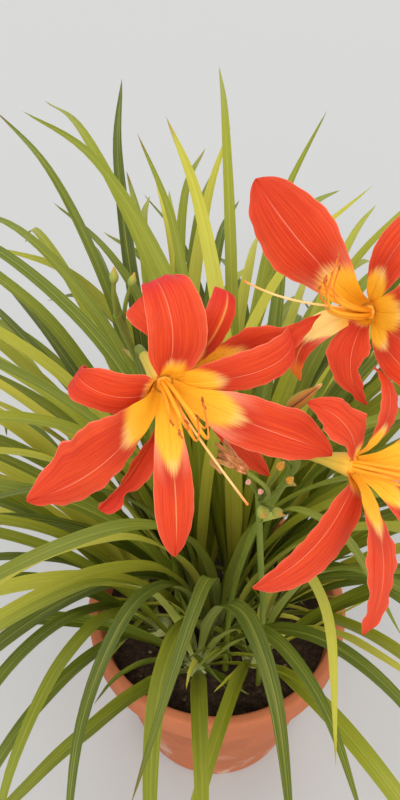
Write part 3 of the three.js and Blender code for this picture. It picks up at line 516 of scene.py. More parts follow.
class Paint:
    """A material built one node at a time."""

    def __init__(self, name, roughness, **sockets):
        self.material = bpy.data.materials.new(name)
        self.material.use_nodes = True
        self.tree = self.material.node_tree
        self.shader = self.tree.nodes["Principled BSDF"]
        self.set("Roughness", roughness)
        for socket, value in sockets.items():
            self.set(socket.replace("_", " "), value)

    def put(self, socket, value):
        """Gives an input a number, a colour or a signal."""
        if isinstance(value, Signal):
            self.tree.links.new(value.socket, socket)
        else:
            socket.default_value = value

    def set(self, name, value):
        self.put(self.shader.inputs[name], value)

    def node(self, kind, inputs, **settings):
        made = self.tree.nodes.new(kind)
        for name, value in settings.items():
            setattr(made, name, value)
        for key, value in inputs.items():
            self.put(made.inputs[key], value)
        return made

    def signal(self, kind, inputs, output=0, **settings):
        return Signal(self, self.node(kind, inputs, **settings).outputs[output])

    def split(self, vector):
        """The three numbers of a vector."""
        return [Signal(self, part) for part in self.node("ShaderNodeSeparateXYZ", {0: vector}).outputs]

    def mark(self, name):
        """The three numbers of a mark on the mesh."""
        return self.split(self.signal("ShaderNodeAttribute", {}, "Vector", attribute_name=name))

    def place(self):
        return self.signal("ShaderNodeTexCoord", {}, "Object")

    def math(self, operation, a, b=0.0, clamp=False):
        return self.signal("ShaderNodeMath", {0: a, 1: b}, operation=operation, use_clamp=clamp)

    def noise(self, vector, scale, detail=2.0, roughness=0.5):
        inputs = {"Vector": vector, "Scale": scale, "Detail": detail, "Roughness": roughness}
        return self.signal("ShaderNodeTexNoise", inputs)

    def streaks(self, along, across, fineness, seed, detail):
        """Noise drawn out along a leaf, petal or stem, with how fine it is along it and across."""
        place = {0: along * fineness[0], 1: across * fineness[1], 2: seed}
        return self.noise(self.signal("ShaderNodeCombineXYZ", place), 1.0, detail)

    def between(self, value, low, high):
        """0 below low, 1 above high."""
        inputs = {"Value": value, "From Min": low, "From Max": high}
        return self.signal("ShaderNodeMapRange", inputs, interpolation_type="SMOOTHSTEP")

    def blend(self, share, a, b):
        return self.signal("ShaderNodeMix", {0: share, 6: a, 7: b}, 2, data_type="RGBA")

    def over(self, under, top, mask, strength):
        """One colour laid over another where the mask is 1."""
        return self.blend(mask * strength, under, top)

    def ramp(self, share, stops):
        """A scale of colours, each a place followed by its red, green and blue."""
        made = self.node("ShaderNodeValToRGB", {0: share})
        band = made.color_ramp
        while len(band.elements) < len(stops):
            band.elements.new(1)
        for element, (position, *colour) in zip(band.elements, stops):
            element.position = position
            element.color = rgb(*colour)
        return Signal(self, made.outputs[0])

    def bump(self, height, distance, strength):
        inputs = {"Height": height, "Distance": distance, "Strength": strength}
        self.set("Normal", self.signal("ShaderNodeBump", inputs))


# ---------------------------------------------------------------- materials


def leaf_paint():
    """Strap leaf: yellow-green with fine lengthwise veins, a paler keel below and a dry tip; its tone, drawn
    at random for each leaf, also holds painted shade and a painted highlight.
    """
    paint = Paint("leaf", roughness=0.48, Specular_IOR_Level=0.3, Subsurface_Weight=0.3)
    paint.set("Subsurface Radius", (0.002, 0.0025, 0.0006))
    s, u, upper = paint.mark("form")
    age, tone_and_painted_light, seed = paint.mark("tint")
    broad = paint.streaks(s, u, (5, 9), seed, 3)
    fine = paint.streaks(s, u, (3, 30), seed, 2)
    spine = paint.between(abs(u), 0.14, 0.0)
    # Each leaf's tone is drawn at random and is partly its own colour, partly painted light: the dark end
    # paints leaves in shade, the bright yellow end a painted highlight on lit leaves.
    colour = paint.ramp(tone_and_painted_light, [
        (0.0, 54, 68, 16), (0.3, 92, 105, 21), (0.65, 141, 144, 30), (1.0, 206, 194, 70),
    ])
    colour = paint.over(colour, rgb(176, 170, 50), paint.between(broad, 0.4, 0.8), 0.5)
    colour = paint.over(colour, rgb(70, 96, 26), paint.between(fine, 0.45, 0.7), 0.3)
    colour = paint.over(colour, rgb(180, 184, 84), spine, 0.3)
    colour = paint.over(colour, rgb(146, 152, 74), 1.0 - upper, 0.3)
    colour = paint.over(colour, rgb(196, 202, 130), paint.between(s, 0.16, 0.0), 0.75)
    dry = paint.between(s + fine * 0.03, 1.02 - age * 0.09, 1.04)
    colour = paint.blend(dry, colour, rgb(150, 112, 60))
    paint.set("Base Color", colour)
    paint.bump(fine + spine * 0.5, 0.0004, 0.6)
    return paint


def flame_colour(paint, s, u, seed, flame, pale, freckled, veins):
    """Yellow from the throat to the flame's pale end, with orange ribs and, on some, freckles."""
    colour = paint.ramp(s / flame, [
        (0.0, 250, 186, 50), (0.15, 254, 180, 34), (0.55, 253, 180, 36), (0.8, 255, 190, 58),
        (1.0, 255, 216, 136),
    ])
    face = paint.between(pale, 0.5, 1.0) * paint.between(s, 0.05, 0.3)
    colour = paint.over(colour, rgb(255, 226, 146), face, 0.75)
    colour = paint.over(colour, rgb(240, 146, 20), paint.between(veins, 0.4, 0.65), 0.22)
    freckles = paint.between(paint.streaks(s, u, (60, 9), seed, 1), 0.63, 0.7)
    return paint.over(colour, rgb(206, 92, 20), freckles * freckled, 0.7)


def red_colour(paint, s, u, seed, side, beyond, pale, crimson, orange, veins):
    """Red-orange, deeper by the flame and lighter at the rims; on some a pink fringe or a dark end."""
    clouds = paint.streaks(s, u, (4, 2), seed, 2)
    colour = paint.blend(clouds, rgb(216, 60, 20), rgb(228, 80, 29))
    colour = paint.over(colour, rgb(194, 40, 18), paint.between(veins, 0.36, 0.66), 0.65)
    colour = paint.over(colour, rgb(184, 42, 22), paint.between(beyond, 0.22, 0.03), 0.5)
    colour = paint.over(colour, rgb(236, 104, 68), paint.between(side, 0.6, 1.0), 0.3)
    fringe = paint.between(beyond, 0.2, 0.0) * paint.between(side, 0.3, 0.9)
    fringe = fringe * paint.math("MULTIPLY", pale, 2.0, clamp=True)
    colour = paint.over(colour, rgb(244, 148, 112), fringe, 0.8)
    end = paint.math("MULTIPLY", paint.between(s, 0.66, 0.86), crimson + 0.12, clamp=True)
    colour = paint.over(colour, rgb(204, 30, 42), end, 0.75)
    return paint.blend(paint.between(s, 0.7, 0.85) * orange, colour, rgb(252, 124, 36))


def tepal_paint():
    """Tepal: yellow flame from the throat, red-orange beyond it, a pale midrib and fine veins."""
    paint = Paint("tepal", roughness=0.58, Specular_IOR_Level=0.22, Subsurface_Weight=0.3)
    paint.set("Subsurface Radius", (0.004, 0.002, 0.0006))
    s, u, upper = paint.mark("form")
    flame, flare, seed = paint.mark("tint")
    lean, broad, pale = paint.mark("trim")
    crimson, orange, freckled = paint.mark("tone")
    side = abs(u)
    veins = paint.streaks(s, u, (2.2, 22), seed, 3)
    ragged = (paint.streaks(s, u, (3, 15), seed, 3) - 0.5) * 0.11
    lost = flare * (lean * paint.math("SIGN", u) + 1.0) * side**1.4
    beyond = s - flame * (1.0 - lost) + ragged
    yellow = flame_colour(paint, s, u, seed, flame, pale, freckled, veins)
    red = red_colour(paint, s, u, seed, side, beyond, pale, crimson, orange, veins)
    colour = paint.blend(paint.between(beyond, -0.06, 0.05), yellow, red)

    midrib = paint.math("SUBTRACT", 1.0, side / (broad * 0.07 + 0.028), clamp=True)
    shown = paint.between(beyond, -0.02, 0.1) * paint.between(s, 0.98, 0.7)
    line = paint.blend(broad, rgb(255, 150, 116), rgb(255, 184, 96))
    colour = paint.over(colour, line, midrib * shown, 0.7)
    piping = paint.between(side, 0.95, 0.995) * paint.between(beyond, -0.05, 0.1)
    colour = paint.over(colour, rgb(252, 150, 112), piping, 0.45)
    colour = paint.over(colour, rgb(238, 112, 66), 1.0 - upper, 0.3)
    paint.set("Base Color", colour)
    paint.bump(veins + midrib * -0.5, 0.0006, 0.8)
    return paint


def tube_paint():
    """Bloom tube: yellow-green at its foot, yellow at its mouth."""
    paint = Paint("tube", roughness=0.5, Specular_IOR_Level=0.35)
    s, turn, _ = paint.mark("form")
    ribs = paint.math("SINE", turn * (6 * 2 * math.pi))
    colour = paint.ramp(s, [
        (0.0, 186, 172, 62), (0.3, 216, 186, 64), (0.5, 242, 190, 62), (0.75, 250, 176, 40),
        (1.0, 236, 168, 40),
    ])
    paint.set("Base Color", paint.over(colour, rgb(150, 130, 40), paint.between(ribs, 0.6, 1), 0.25))
    return paint


FILAMENT_KIND, ANTHER_KIND, STIGMA_KIND, STYLE_KIND = range(4)


def stamen_paint():
    """Golden filaments that redden towards dusty brown anthers, and a pale apricot style."""
    paint = Paint("stamen", roughness=0.5, Specular_IOR_Level=0.4)
    s, _, kind = paint.mark("form")
    colour = paint.ramp(s, [
        (0.0, 254, 182, 44), (0.6, 255, 184, 50), (0.8, 246, 144, 38), (1.0, 222, 104, 28),
    ])
    dust = paint.noise(paint.place(), 900, 2)
    pollen = paint.blend(paint.between(dust, 0.35, 0.65), rgb(158, 66, 16), rgb(214, 110, 28))
    apricot = paint.ramp(s, [
        (0.0, 252, 170, 40), (0.3, 255, 196, 104), (0.85, 255, 206, 132), (1.0, 248, 160, 80),
    ])
    paint.set("Base Color", kinds(paint, kind, colour, pollen, rgb(240, 130, 50), apricot))
    return paint


def kinds(paint, kind, *colours):
    """The first colour where the kind is 0, the next where it is 1, and so on."""
    colour = colours[0]
    for k, following in enumerate(colours[1:]):
        colour = paint.blend(paint.between(kind, k + 0.4, k + 0.6), colour, following)
    return colour


STALK, GREEN_BUD, BRACT, STUB = range(4)


def stem_paint():
    """Stalks: olive green with faint lengthwise lines; buds yellower, cut stubs pinkish and dry."""
    paint = Paint("stem", roughness=0.5, Specular_IOR_Level=0.3)
    s, turn, kind = paint.mark("form")
    lines = paint.streaks(s, turn, (20, 14), kind, 2)
    stalk = paint.blend(paint.noise(paint.place(), 60, 3), rgb(104, 120, 34), rgb(138, 146, 46))
    stalk = paint.over(stalk, rgb(84, 98, 28), lines, 0.5)
    bud = paint.ramp(s, [(0.0, 120, 140, 60), (0.6, 160, 164, 66), (1.0, 206, 150, 60)])
    blade = paint.ramp(s, [(0.0, 160, 172, 70), (0.7, 176, 176, 74), (1.0, 170, 120, 70)])
    paint.set("Base Color", kinds(paint, kind, stalk, bud, blade, rgb(226, 168, 140)))
    paint.bump(lines, 0.0003, 0.6)
    return paint


def bud_paint():
    """Ripe bud: olive orange with dark red seams and a pale tip; fresh ones are yellower and plain."""
    paint = Paint("bud", roughness=0.5, Specular_IOR_Level=0.35)
    s, turn, _ = paint.mark("form")
    fresh, _, _ = paint.mark("tint")
    groove = paint.math("COSINE", turn * (3 * 2 * math.pi))
    streak = paint.streaks(s, turn, (4, 26), 0.0, 2)
    colour = paint.ramp(s, [
        (0.0, 140, 140, 48), (0.25, 164, 138, 42), (0.8, 172, 124, 40), (0.96, 240, 208, 120),
    ])
    colour = paint.over(colour, rgb(198, 98, 26), paint.between(groove, -0.6, 0.6), 0.7)
    colour = paint.over(colour, rgb(150, 90, 40), paint.between(streak, 0.45, 0.7), 0.4)
    colour = paint.over(colour, rgb(232, 164, 52), fresh, 0.7)
    seam = paint.between(groove, 0.5, 0.85) * (0.85 - fresh * 0.7) * paint.between(s, 0.94, 0.8)
    paint.set("Base Color", paint.blend(seam, colour, rgb(92, 20, 14)))
    paint.bump(streak, 0.0004, 0.6)
    return paint


def withered_paint():
    """Spent bloom: limp, orange brown to olive, with pale pink folds."""
    paint = Paint("withered", roughness=0.6, Specular_IOR_Level=0.3)
    s, u, _ = paint.mark("form")
    olive, pink, _ = paint.mark("tint")
    folds = paint.streaks(s, u, (5, 16), 1.0, 3)
    colour = paint.ramp(folds, [
        (0.3, 104, 72, 30), (0.46, 176, 104, 42), (0.6, 206, 130, 78), (0.76, 234, 180, 150),
    ])
    colour = paint.over(colour, rgb(176, 142, 50), olive, 0.55)
    paint.set("Base Color", paint.over(colour, rgb(232, 172, 146), pink, 0.6))
    paint.bump(folds, 0.001, 0.8)
    return paint


def clay_paint():
    """Terracotta: dusty orange-brown with fine grain, throwing lines and pale salt marks."""
    paint = Paint("terracotta", roughness=0.86, Specular_IOR_Level=0.25)
    place = paint.place()
    _, _, height = paint.split(place)
    grain = paint.noise(place, 700, 3, 0.7)
    colour = paint.blend(paint.noise(place, 9, 4, 0.6), rgb(168, 88, 54), rgb(204, 124, 82))
    colour = paint.over(colour, rgb(142, 70, 42), paint.between(grain, 0.5, 0.75), 0.35)
    salt = paint.between(paint.noise(place, 22, 5, 0.65), 0.52, 0.72) * paint.between(height, 0.13, 0.02)
    colour = paint.over(colour, rgb(226, 204, 184), salt, 0.65)
    damp = paint.between(paint.noise(place, 14, 3), 0.45, 0.6)
    paint.set("Base Color", paint.over(colour, rgb(132, 70, 46), damp, 0.25))
    rings = paint.math("SINE", height * (2 * math.pi / 0.0035))
    paint.bump(grain * 0.8 + rings * 0.08, 0.0006, 0.7)
    return paint


def soil_paint():
    """Potting mix: near black, with brown fibres and a few pale grains."""
    paint = Paint("soil", roughness=0.95, Specular_IOR_Level=0.2)
    place = paint.place()
    _, _, kind = paint.mark("tint")
    clod = paint.noise(place, 160, 4, 0.65)
    colour = paint.ramp(clod, [(0.3, 26, 18, 13), (0.55, 58, 42, 30), (0.8, 96, 72, 52)])
    paint.set("Base Color", paint.blend(paint.between(kind, 0.8, 0.95), colour, rgb(132, 104, 74)))
    paint.bump(paint.noise(place, 500, 4, 0.7), 0.0015, 0.9)
    return paint


# ---------------------------------------------------------------- pot and soil

SOIL_MIDDLE = 1.5
HILL_HEIGHT = 1.6
CRUMB_SIZES = (0.8, 3.2)


def pot_inside(height):
    shoulder = POT["height"] - POT["wall"] * 4
    low = POT["base"] - POT["wall"] + 2
    high = POT["shoulder"] - POT["wall"] + 3
    return mix(low, high, (height - POT["floor"]) / (shoulder - POT["floor"]))


def rounded(corner, before, after, radius, steps=6):
    """Points of a rounded corner of a profile."""
    corner, before, after = vec(*corner), vec(*before), vec(*after)
    start = corner + unit(before - corner) * radius
    end = corner + unit(after - corner) * radius
    k = np.linspace(0, 1, steps)[:, None]
    return ((1 - k) ** 2 * start + 2 * k * (1 - k) * corner + k**2 * end).tolist()


def make_pot():
    rim_foot = POT["height"] - POT["rim_height"]
    corners = [
        ((POT["base"], 0), 2.5), ((POT["shoulder"], rim_foot), 1.5), ((POT["rim"] - 1, rim_foot), 4),
        ((POT["rim"], POT["height"]), 5), ((pot_inside(POT["height"]), POT["height"]), 3.5),
        ((pot_inside(POT["floor"]), POT["floor"]), 3),
    ]
    ends = [(0, 0)] + [corner for corner, _ in corners] + [(0, POT["floor"])]
    profile = []
    for i, (corner, radius) in enumerate(corners):
        profile += rounded(corner, ends[i], ends[i + 2], radius)
    skin = Skin()
    skin.loop(turned_rings(profile, 128))
    pot = skin.piece("clay_pot", "pot", "terracotta", clay_paint(), sharp=70)
    drills = Skin()
    for i in range(DRAIN["count"]):
        out, _ = level_axes(360 * (i + 0.5) / DRAIN["count"])
        drills.loop(turned_rings([(DRAIN["radius"], -20), (DRAIN["radius"], 40)], 32) + DRAIN["ring"] * out)
    apply_cut(pot, linked("drills", drills.mesh("drills")))


def apply_cut(piece, cutter):
    cut = piece.modifiers.new("cut", "BOOLEAN")
    cut.object = cutter
    cut.solver = "EXACT"
    bpy.context.view_layer.update()
    cut_piece = piece.evaluated_get(bpy.context.evaluated_depsgraph_get())
    mesh = bpy.data.meshes.new_from_object(cut_piece)
    piece.modifiers.clear()
    piece.data = mesh
    bpy.data.objects.remove(cutter)


def hills(x, y):
    """A soft random height over the soil, between about -1 and 1."""
    waves = [(0.11, 0.05, 0.3), (-0.06, 0.13, 1.7), (0.19, -0.11, 2.9), (0.27, 0.23, 0.8), (-0.4, 0.31, 4.1)]
    return sum(np.sin(a * x + b * y + c) / (1 + i * 0.4) for i, (a, b, c) in enumerate(waves)) / 2.6


def soil_height(x, y):
    edge = pot_inside(SOIL["top"]) - SOIL["gap"]
    return SOIL["top"] + SOIL["crown"] * (1 - np.hypot(x, y) / edge) + HILL_HEIGHT * hills(x, y)


def crumb(radius, seed):
    """An irregular lump as rings about its own middle."""
    rise = np.linspace(-1.2, 1.2, 4)[:, None]
    turn = once_round(7)
    bulge = 1 + 0.3 * np.sin(3 * turn + seed) * np.cos(2 * rise + seed * 1.7)
    reach = radius * bulge * np.cos(rise)
    return stacked(reach * np.cos(turn), reach * np.sin(turn) * 0.8, radius * 0.75 * np.sin(rise))


def make_soil():
    edge = pot_inside(SOIL["top"]) - SOIL["gap"]
    turn = once_round(144)
    radii = np.linspace(edge, SOIL_MIDDLE, 60)[:, None]
    x, y = radii * np.cos(turn), radii * np.sin(turn)
    floor = POT["floor"] + SOIL["gap"]
    below = turned_rings([(SOIL_MIDDLE, floor), (pot_inside(floor) - SOIL["gap"], floor)], len(turn))
    skin = Skin()
    skin.loop(np.concatenate([below, stacked(x, y, soil_height(x, y))]))
    for k in range(CRUMBS):
        reach = (edge - 5) * math.sqrt(draw(k + 3000))
        angle = 2 * math.pi * draw(k + 5000)
        x, y = reach * math.cos(angle), reach * math.sin(angle)
        radius = mix(*CRUMB_SIZES, draw(k + 7000) ** 3)
        lump = crumb(radius, 10 * draw(k + 9000)) + vec(x, y, soil_height(x, y) + radius * 0.2)
        skin.loop(lump, tint=(0, 0, draw(k + 11000)))
    skin.piece("potting_mix", "soil", "soil", soil_paint(), sharp=60)


# ---------------------------------------------------------------- leaves

CELLS_PER_MM = 5
NEAR = 0.05
FOUND_ENOUGH = 8


def leaf_measures(fan_number, leaf_number, attempt):
    """The measures of one leaf, drawn as for the solids."""
    fan = FANS[fan_number]
    seed = fan_number * 9100 + leaf_number * 530 + attempt * 11
    rank = leaf_number / (fan["leaves"] - 1)
    hand = 1 if leaf_number % 2 else -1
    return {
        "azimuth": fan["facing"] + hand * fan["spread"] * draw(seed + 1) ** 0.8,
        "launch": mix(*fan["launch"], rank) + 8 * (draw(seed + 2) - 0.5),
        "droop": mix(*fan["droop"], rank) + 50 * (draw(seed + 3) - 0.5),
        "length": mix(*fan["length"], rank) * mix(0.78, 1.06, draw(seed + 4)),
        "width": mix(12, 19, draw(seed + 5)),
        "swerve": 70 * (draw(seed + 6) - 0.5),
        "roll": 60 * (draw(seed + 7) - 0.5),
        "bend": mix(1.3, 2.8, draw(seed + 8)),
        "outward": mix(8.5, 0.5, rank),
        "offset": 1.5 * hand,
        "seed": seed,
    }


def leaf_half_width(leaf, s):
    return leaf["width"] / 2 * np.minimum(1, 0.34 + 2.6 * s) * (1 - s**3.4) ** 0.8


def leaf_fold(s):
    return np.radians(mix(38, 12, np.minimum(1, s * 2)))


def leaf_directions(leaf, s):
    """Unit vectors along a leaf, across it and out of its upper face, at shares of its length."""
    rise = np.radians(leaf["launch"] - leaf["droop"] * s ** leaf["bend"])
    heading = np.radians(leaf["azimuth"] + leaf["swerve"] * s * s)
    along = stacked(np.cos(rise) * np.cos(heading), np.cos(rise) * np.sin(heading), np.sin(rise))
    level = stacked(-np.sin(heading), np.cos(heading), 0.0)
    face = unit(np.cross(along, level))
    roll = np.radians(leaf["roll"] * s)[:, None]
    return along, level * np.cos(roll) + face * np.sin(roll), face * np.cos(roll) - level * np.sin(roll)


def fan_foot(fan):
    return fan["ring"] * level_axes(fan["facing"])[0]


def leaf_keel(fan_number, leaf):
    """The points that the solid's keel runs through, foot to tip."""
    out, side = level_axes(leaf["azimuth"])
    place = fan_foot(FANS[fan_number]) + vec(0, 0, CROWN["top"] - 8)
    place = place + leaf["outward"] * out + leaf["offset"] * side
    halves = (np.arange(LEAF_SEGMENTS) + 0.5) / LEAF_SEGMENTS
    steps = leaf_directions(leaf, halves)[0] * leaf["length"] / LEAF_SEGMENTS
    return np.vstack([place, place + np.cumsum(steps, axis=0)])


def leaf_ridges(fan_number, leaf):
    """The solid's own corner points beyond the crown, tip first, to find the leaf by in its node."""
    keel = leaf_keel(fan_number, leaf)
    s = np.arange(LEAF_SEGMENTS) / LEAF_SEGMENTS
    _, side, face = leaf_directions(leaf, s)
    half = leaf_half_width(leaf, s)[:, None]
    fold = leaf_fold(s)[:, None]
    lift, reach = face * half * np.sin(fold), side * half * np.cos(fold)
    foot = keel[:-1]
    ridges = [foot - face * LEAF_KEEL, foot + reach + lift, foot - reach + lift]
    return np.vstack([keel[-1:]] + [ridge[1:] for ridge in ridges])


def corner_cells(points):
    """The small cells of space that hold the points."""
    return {tuple(cell) for cell in np.floor(points * CELLS_PER_MM).astype(int).tolist()}


def found(points, cells):
    """How many of the points lie in or beside the cells."""
    near = np.array([(a, b, c) for a in (-NEAR, NEAR) for b in (-NEAR, NEAR) for c in (-NEAR, NEAR)])
    return sum(bool(corner_cells(point + near) & cells) for point in points)


def grown_leaves(fan_number):
    """The drawn leaves that the fan's solid holds."""
    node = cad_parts[f"leaf_fan_{fan_number + 1}"]
    cells = corner_cells(np.array([vertex.co for vertex in node.data.vertices]) / MM)
    leaves = []
    for leaf_number in range(FANS[fan_number]["leaves"]):
        for attempt in range(LEAF_TRIES):
            leaf = leaf_measures(fan_number, leaf_number, attempt)
            ridges = leaf_ridges(fan_number, leaf)
            if found(ridges[:1], cells) and found(ridges, cells) > FOUND_ENOUGH:
                leaves.append(leaf)
                break
    return leaves


def add_leaf(skin, keel, leaf, rows=LEAF_ROWS):
    """A channelled strap with a keel below and slightly waved rims."""
    s = np.linspace(0, 1, rows + 1)[:-1]
    u = np.linspace(-1, 1, LEAF_ACROSS + 1)
    at = Curve(keel).through(s)
    _, side, face = leaf_directions(leaf, s)
    half = leaf_half_width(leaf, s)[:, None]
    fold = leaf_fold(s)[:, None]
    seed = leaf["seed"]
    relief = LEAF_RELIEF
    crease = np.sqrt(u * u + relief["crease"]) - math.sqrt(relief["crease"])
    phase = 2 * math.pi * (5 * s[:, None] + 0.37 * seed) + 1.3 * np.sign(u)
    wave = relief["wave"] * u * np.abs(u) * np.sin(phase)
    lift = half * np.sin(fold) * crease + wave - relief["sink"] * (1 - np.abs(u))
    thickness = relief["rim"] + relief["spine"] * (1 - np.abs(u)) ** 1.5
    # Age, a tone drawn at random that also carries painted shade and painted highlight, and a seed for the
    # leaf's marks.
    tint = (draw(seed + 21), mix(0.1, 1, draw(seed + 22)), 10 * draw(seed + 23))
    skin.sheet(at, side, face, half * np.cos(fold) * u, lift, thickness, s, u, tint, keel[-1])


def add_short_leaves(skin, fan_number):
    """Young and broken leaves round the crown, too small for the solids."""
    for k in range(SHORT_LEAVES):
        seed = fan_number * 700 + k * 31 + 5
        leaf = leaf_measures(fan_number, 3, k + 50)
        leaf.update(
            azimuth=360 * draw(seed), launch=mix(35, 80, draw(seed + 1)), droop=mix(30, 110, draw(seed + 2)),
            length=mix(50, 150, draw(seed + 3)), width=mix(4, 8, draw(seed + 4)),
            outward=mix(4, 10, draw(seed + 5)), seed=seed,
        )
        add_leaf(skin, leaf_keel(fan_number, leaf), leaf, SHORT_LEAF_ROWS)


def make_fans():
    paint = leaf_paint()
    crown = [
        (CROWN["radius"] * 0.8, SOIL["hole_floor"] + SEAT_GAP), (CROWN["radius"], SOIL["top"] - 20),
        (CROWN["radius"], SOIL["top"]), (CROWN["neck"], CROWN["top"] - 4),
        (CROWN["neck"] * 0.6, CROWN["top"]),
    ]
    for fan_number, fan in enumerate(FANS):
        leaves = grown_leaves(fan_number)
        print(f"leaf_fan_{fan_number + 1}: {len(leaves)} leaves")
        skin = Skin()
        skin.loop(turned_rings(crown, 24) + fan_foot(fan), (0, 0.5, 0), (0.5, 0.4, fan_number))
        for leaf in leaves:
            add_leaf(skin, leaf_keel(fan_number, leaf), leaf)
        add_short_leaves(skin, fan_number)
        skin.piece(f"leaves_{fan_number + 1}", f"leaf_fan_{fan_number + 1}", "leaf", paint)


# ---------------------------------------------------------------- blooms

USUAL_FLAME = 0.4
STAMEN_ROWS = 40
FILAMENT_RADII = (1.1, 0.42)
STYLE_RADII = (0.68, 0.5)
ANTHER = {"half": 1.8, "radius": 0.6}
STIGMA = {"half": 0.8, "radius": 0.6}


class Bloom:
    """A bloom's own axes: forward is the way it faces, up leans back from it."""

    def __init__(self, name):
        self.spec = BLOOMS[name]
        compass, elevation = np.radians(self.spec["faces"])
        flat = math.cos(elevation)
        self.at = vec(*self.spec["at"])
        self.forward = vec(math.sin(compass) * flat, -math.cos(compass) * flat, math.sin(elevation))
        self.up = unit(vec(0, 0, 1) - self.forward * self.forward[2])
        self.right = np.cross(self.up, self.forward)

    def point(self, forward, right, up):
        return self.at + self.forward * forward + self.right * right + self.up * up

    def spoke(self, angle):
        turn = np.radians(angle)
        return np.cos(turn)[..., None] * self.right + np.sin(turn)[..., None] * self.up

    def placed(self, rings):
        """Rings made about +Z, set on the bloom's forward axis at its throat."""
        return self.at + rings @ np.array([self.right, self.up, self.forward])


def tepal_width(tepal, s):
    base, wide, tip = (tepal.get(key, usual) for key, usual in (("base", 0.3), ("wide", 0.55), ("tip", 2.2)))
    k = np.minimum(1, s / wide)
    rising = base + (1 - base) * k * k * (3 - 2 * k)
    falling = np.maximum(0, 1 - np.maximum(0, (s - wide) / (1 - wide)) ** tip) ** 0.75
    return np.where(s < wide, rising, falling)


def tepal_edges(tepal, s, u):
    """How far the edge on each column's side lies from the midrib: rows by columns."""
    edge = np.sign(u)
    half = (tepal["width"] / 2 * tepal_width(tepal, s))[:, None] * (1 + tepal.get("skew", 0) * edge)
    for side, place, size, span in tepal.get("lobes", ()):
        half = half * (1 + (edge == side) * size * np.exp(-(((s[:, None] - place) / span) ** 2)))
    return half


def tepal_directions(bloom, tepal, s):
    """The spoke that a tepal follows and the way it grows, at shares of its length."""
    opening = THROAT_ANGLE + (tepal["open"] - THROAT_ANGLE) * np.minimum(1, s / THROAT_SHARE)
    opening = opening + tepal["bend"] * s**1.5 + tepal.get("curl", 0) * s**5
    spoke = bloom.spoke(tepal["az"] + tepal.get("side", 0) * s ** tepal.get("drift", 2))
    turn = np.radians(opening)[:, None]
    return spoke, bloom.forward * np.cos(turn) + spoke * np.sin(turn)


def tepal_keel(bloom, tepal, foot):
    """The points that the solid's midrib runs through, foot to tip."""
    rows = CURLED_ROWS if tepal.get("curl") else TEPAL_ROWS
    steps = tepal_directions(bloom, tepal, (np.arange(rows) + 0.5) / rows)[1] * tepal["length"] / rows
    start = bloom.at + bloom.spoke(np.array(float(tepal["az"]))) * foot
    return np.vstack([start, start + np.cumsum(steps, axis=0)])


def tepal_lift(tepal, half, rise, hollow, s, u, seed):
    """How far a tepal stands in from its midrib: folded and cupped, with ruffles, a groove and soft bumps."""
    relief = TEPAL_RELIEF
    ruffle = tepal.get("ruffle", 0)
    phase = np.where(u > 0, 0, 2.1)
    settled = np.minimum(1, s * 2)
    wave = ruffle * u * u * np.sin(5 * math.pi * s + phase) * settled
    frill = (relief["frill"] + relief["ruffle"] * ruffle) * np.abs(u) ** 4
    frill = frill * np.sin(17 * math.pi * s + phase * 2 + seed) * settled
    crisp = tepal.get("crisp", 0) * smoothstep((s - 0.55) / 0.2) * np.sin(9 * u + 21 * s + seed) * u * u
    groove = -relief["groove"] * np.exp(-((u / relief["groove_width"]) ** 2)) * np.minimum(1, s * 5)
    droop = -0.05 * half * u * u * settled
    lift = half * np.abs(u) * np.sin(rise) + wave + hollow + frill + crisp + groove + droop
    for place, share, height, breadth, length in tepal.get("bumps", ()):
        lift = lift + height * np.exp(-(((u - place) / breadth) ** 2) - ((s - share) / length) ** 2)
    return lift


def add_tepal(skin, bloom, tepal, number):
    foot = SEPAL_FOOT if tepal.get("outer") else PETAL_FOOT
    keel = tepal_keel(bloom, tepal, foot)
    t = np.linspace(0, 1, PETAL_ROWS + 1)[:-1]
    s = 1 - (1 - t) ** 1.35
    u = np.sin(np.linspace(-math.pi / 2, math.pi / 2, PETAL_ACROSS + 1))
    spoke, along = tepal_directions(bloom, tepal, s)
    across = np.cross(bloom.forward, spoke)
    inward = np.cross(along, across)
    half = tepal_edges(tepal, s, u)
    wrap = (np.maximum(1e-6, np.maximum(0, 1 - s / CUP_SHARE) ** 2 / foot))[:, None]
    rise = np.radians(tepal.get("fold", 0) * np.minimum(1, s * 3))[:, None]
    turn = half * u * wrap
    reach = np.sin(turn) / wrap * np.cos(rise)
    hollow = (1 - np.cos(turn)) / wrap
    seed = 10 * draw(number * 3.7 + tepal["az"])
    lift = tepal_lift(tepal, half, rise, hollow, s[:, None], u, seed)
    thickness = TEPAL_RELIEF["rim"] + TEPAL_RELIEF["middle"] * (1 - u**4)
    looks = ("lean", "midrib", "pale", "crimson", "orange", "freckled")
    flame, flare = (tepal.get(key, USUAL_FLAME) for key in ("flame", "flare"))
    tint = (flame, flare, seed, *(tepal.get(look, 0) for look in looks))
    skin.sheet(Curve(keel).through(s), across, inward, reach, lift, thickness, s, u, tint, keel[-1])


def add_bloom_tube(skin, bloom, sides=36):
    profile = [
        (TUBE["neck"], -TUBE["length"]), (TUBE["neck"] + 0.4, -TUBE["length"] * 0.85),
        (TUBE["neck"] + 0.8, -TUBE["length"] * 0.7), (4.3, -14),
        (TUBE["mouth"] * 0.75, -TUBE["length"] * 0.3), (6.3, -3.5), (6.7, -0.5), (6.2, 0.6), (5.2, 0.2),
        (TUBE["bore"], -2), (3.6, -6), (2.76, -TUBE["bore_depth"]),
    ]
    share = np.linspace(0, 1, len(profile))[:, None]
    form = stacked(share, np.linspace(0, 1, sides, endpoint=False), 1.0)
    skin.loop(bloom.placed(turned_rings(profile, sides)), form, (0.5, 0.5, 0.5))


def add_pod(skin, middle, towards, size, sides, kind, lobes, depth):
    """A small lobed body, such as an anther, that reaches as far to either side of its middle."""
    t = np.linspace(-1, 1, 13)
    path = middle + towards * size["half"] * t[:, None]
    radius = size["radius"] * (1 - np.abs(t) ** 2.6) ** 0.5 + 0.08
    skin.tube(path, radius, sides, kind, lobes=lobes, depth=depth)


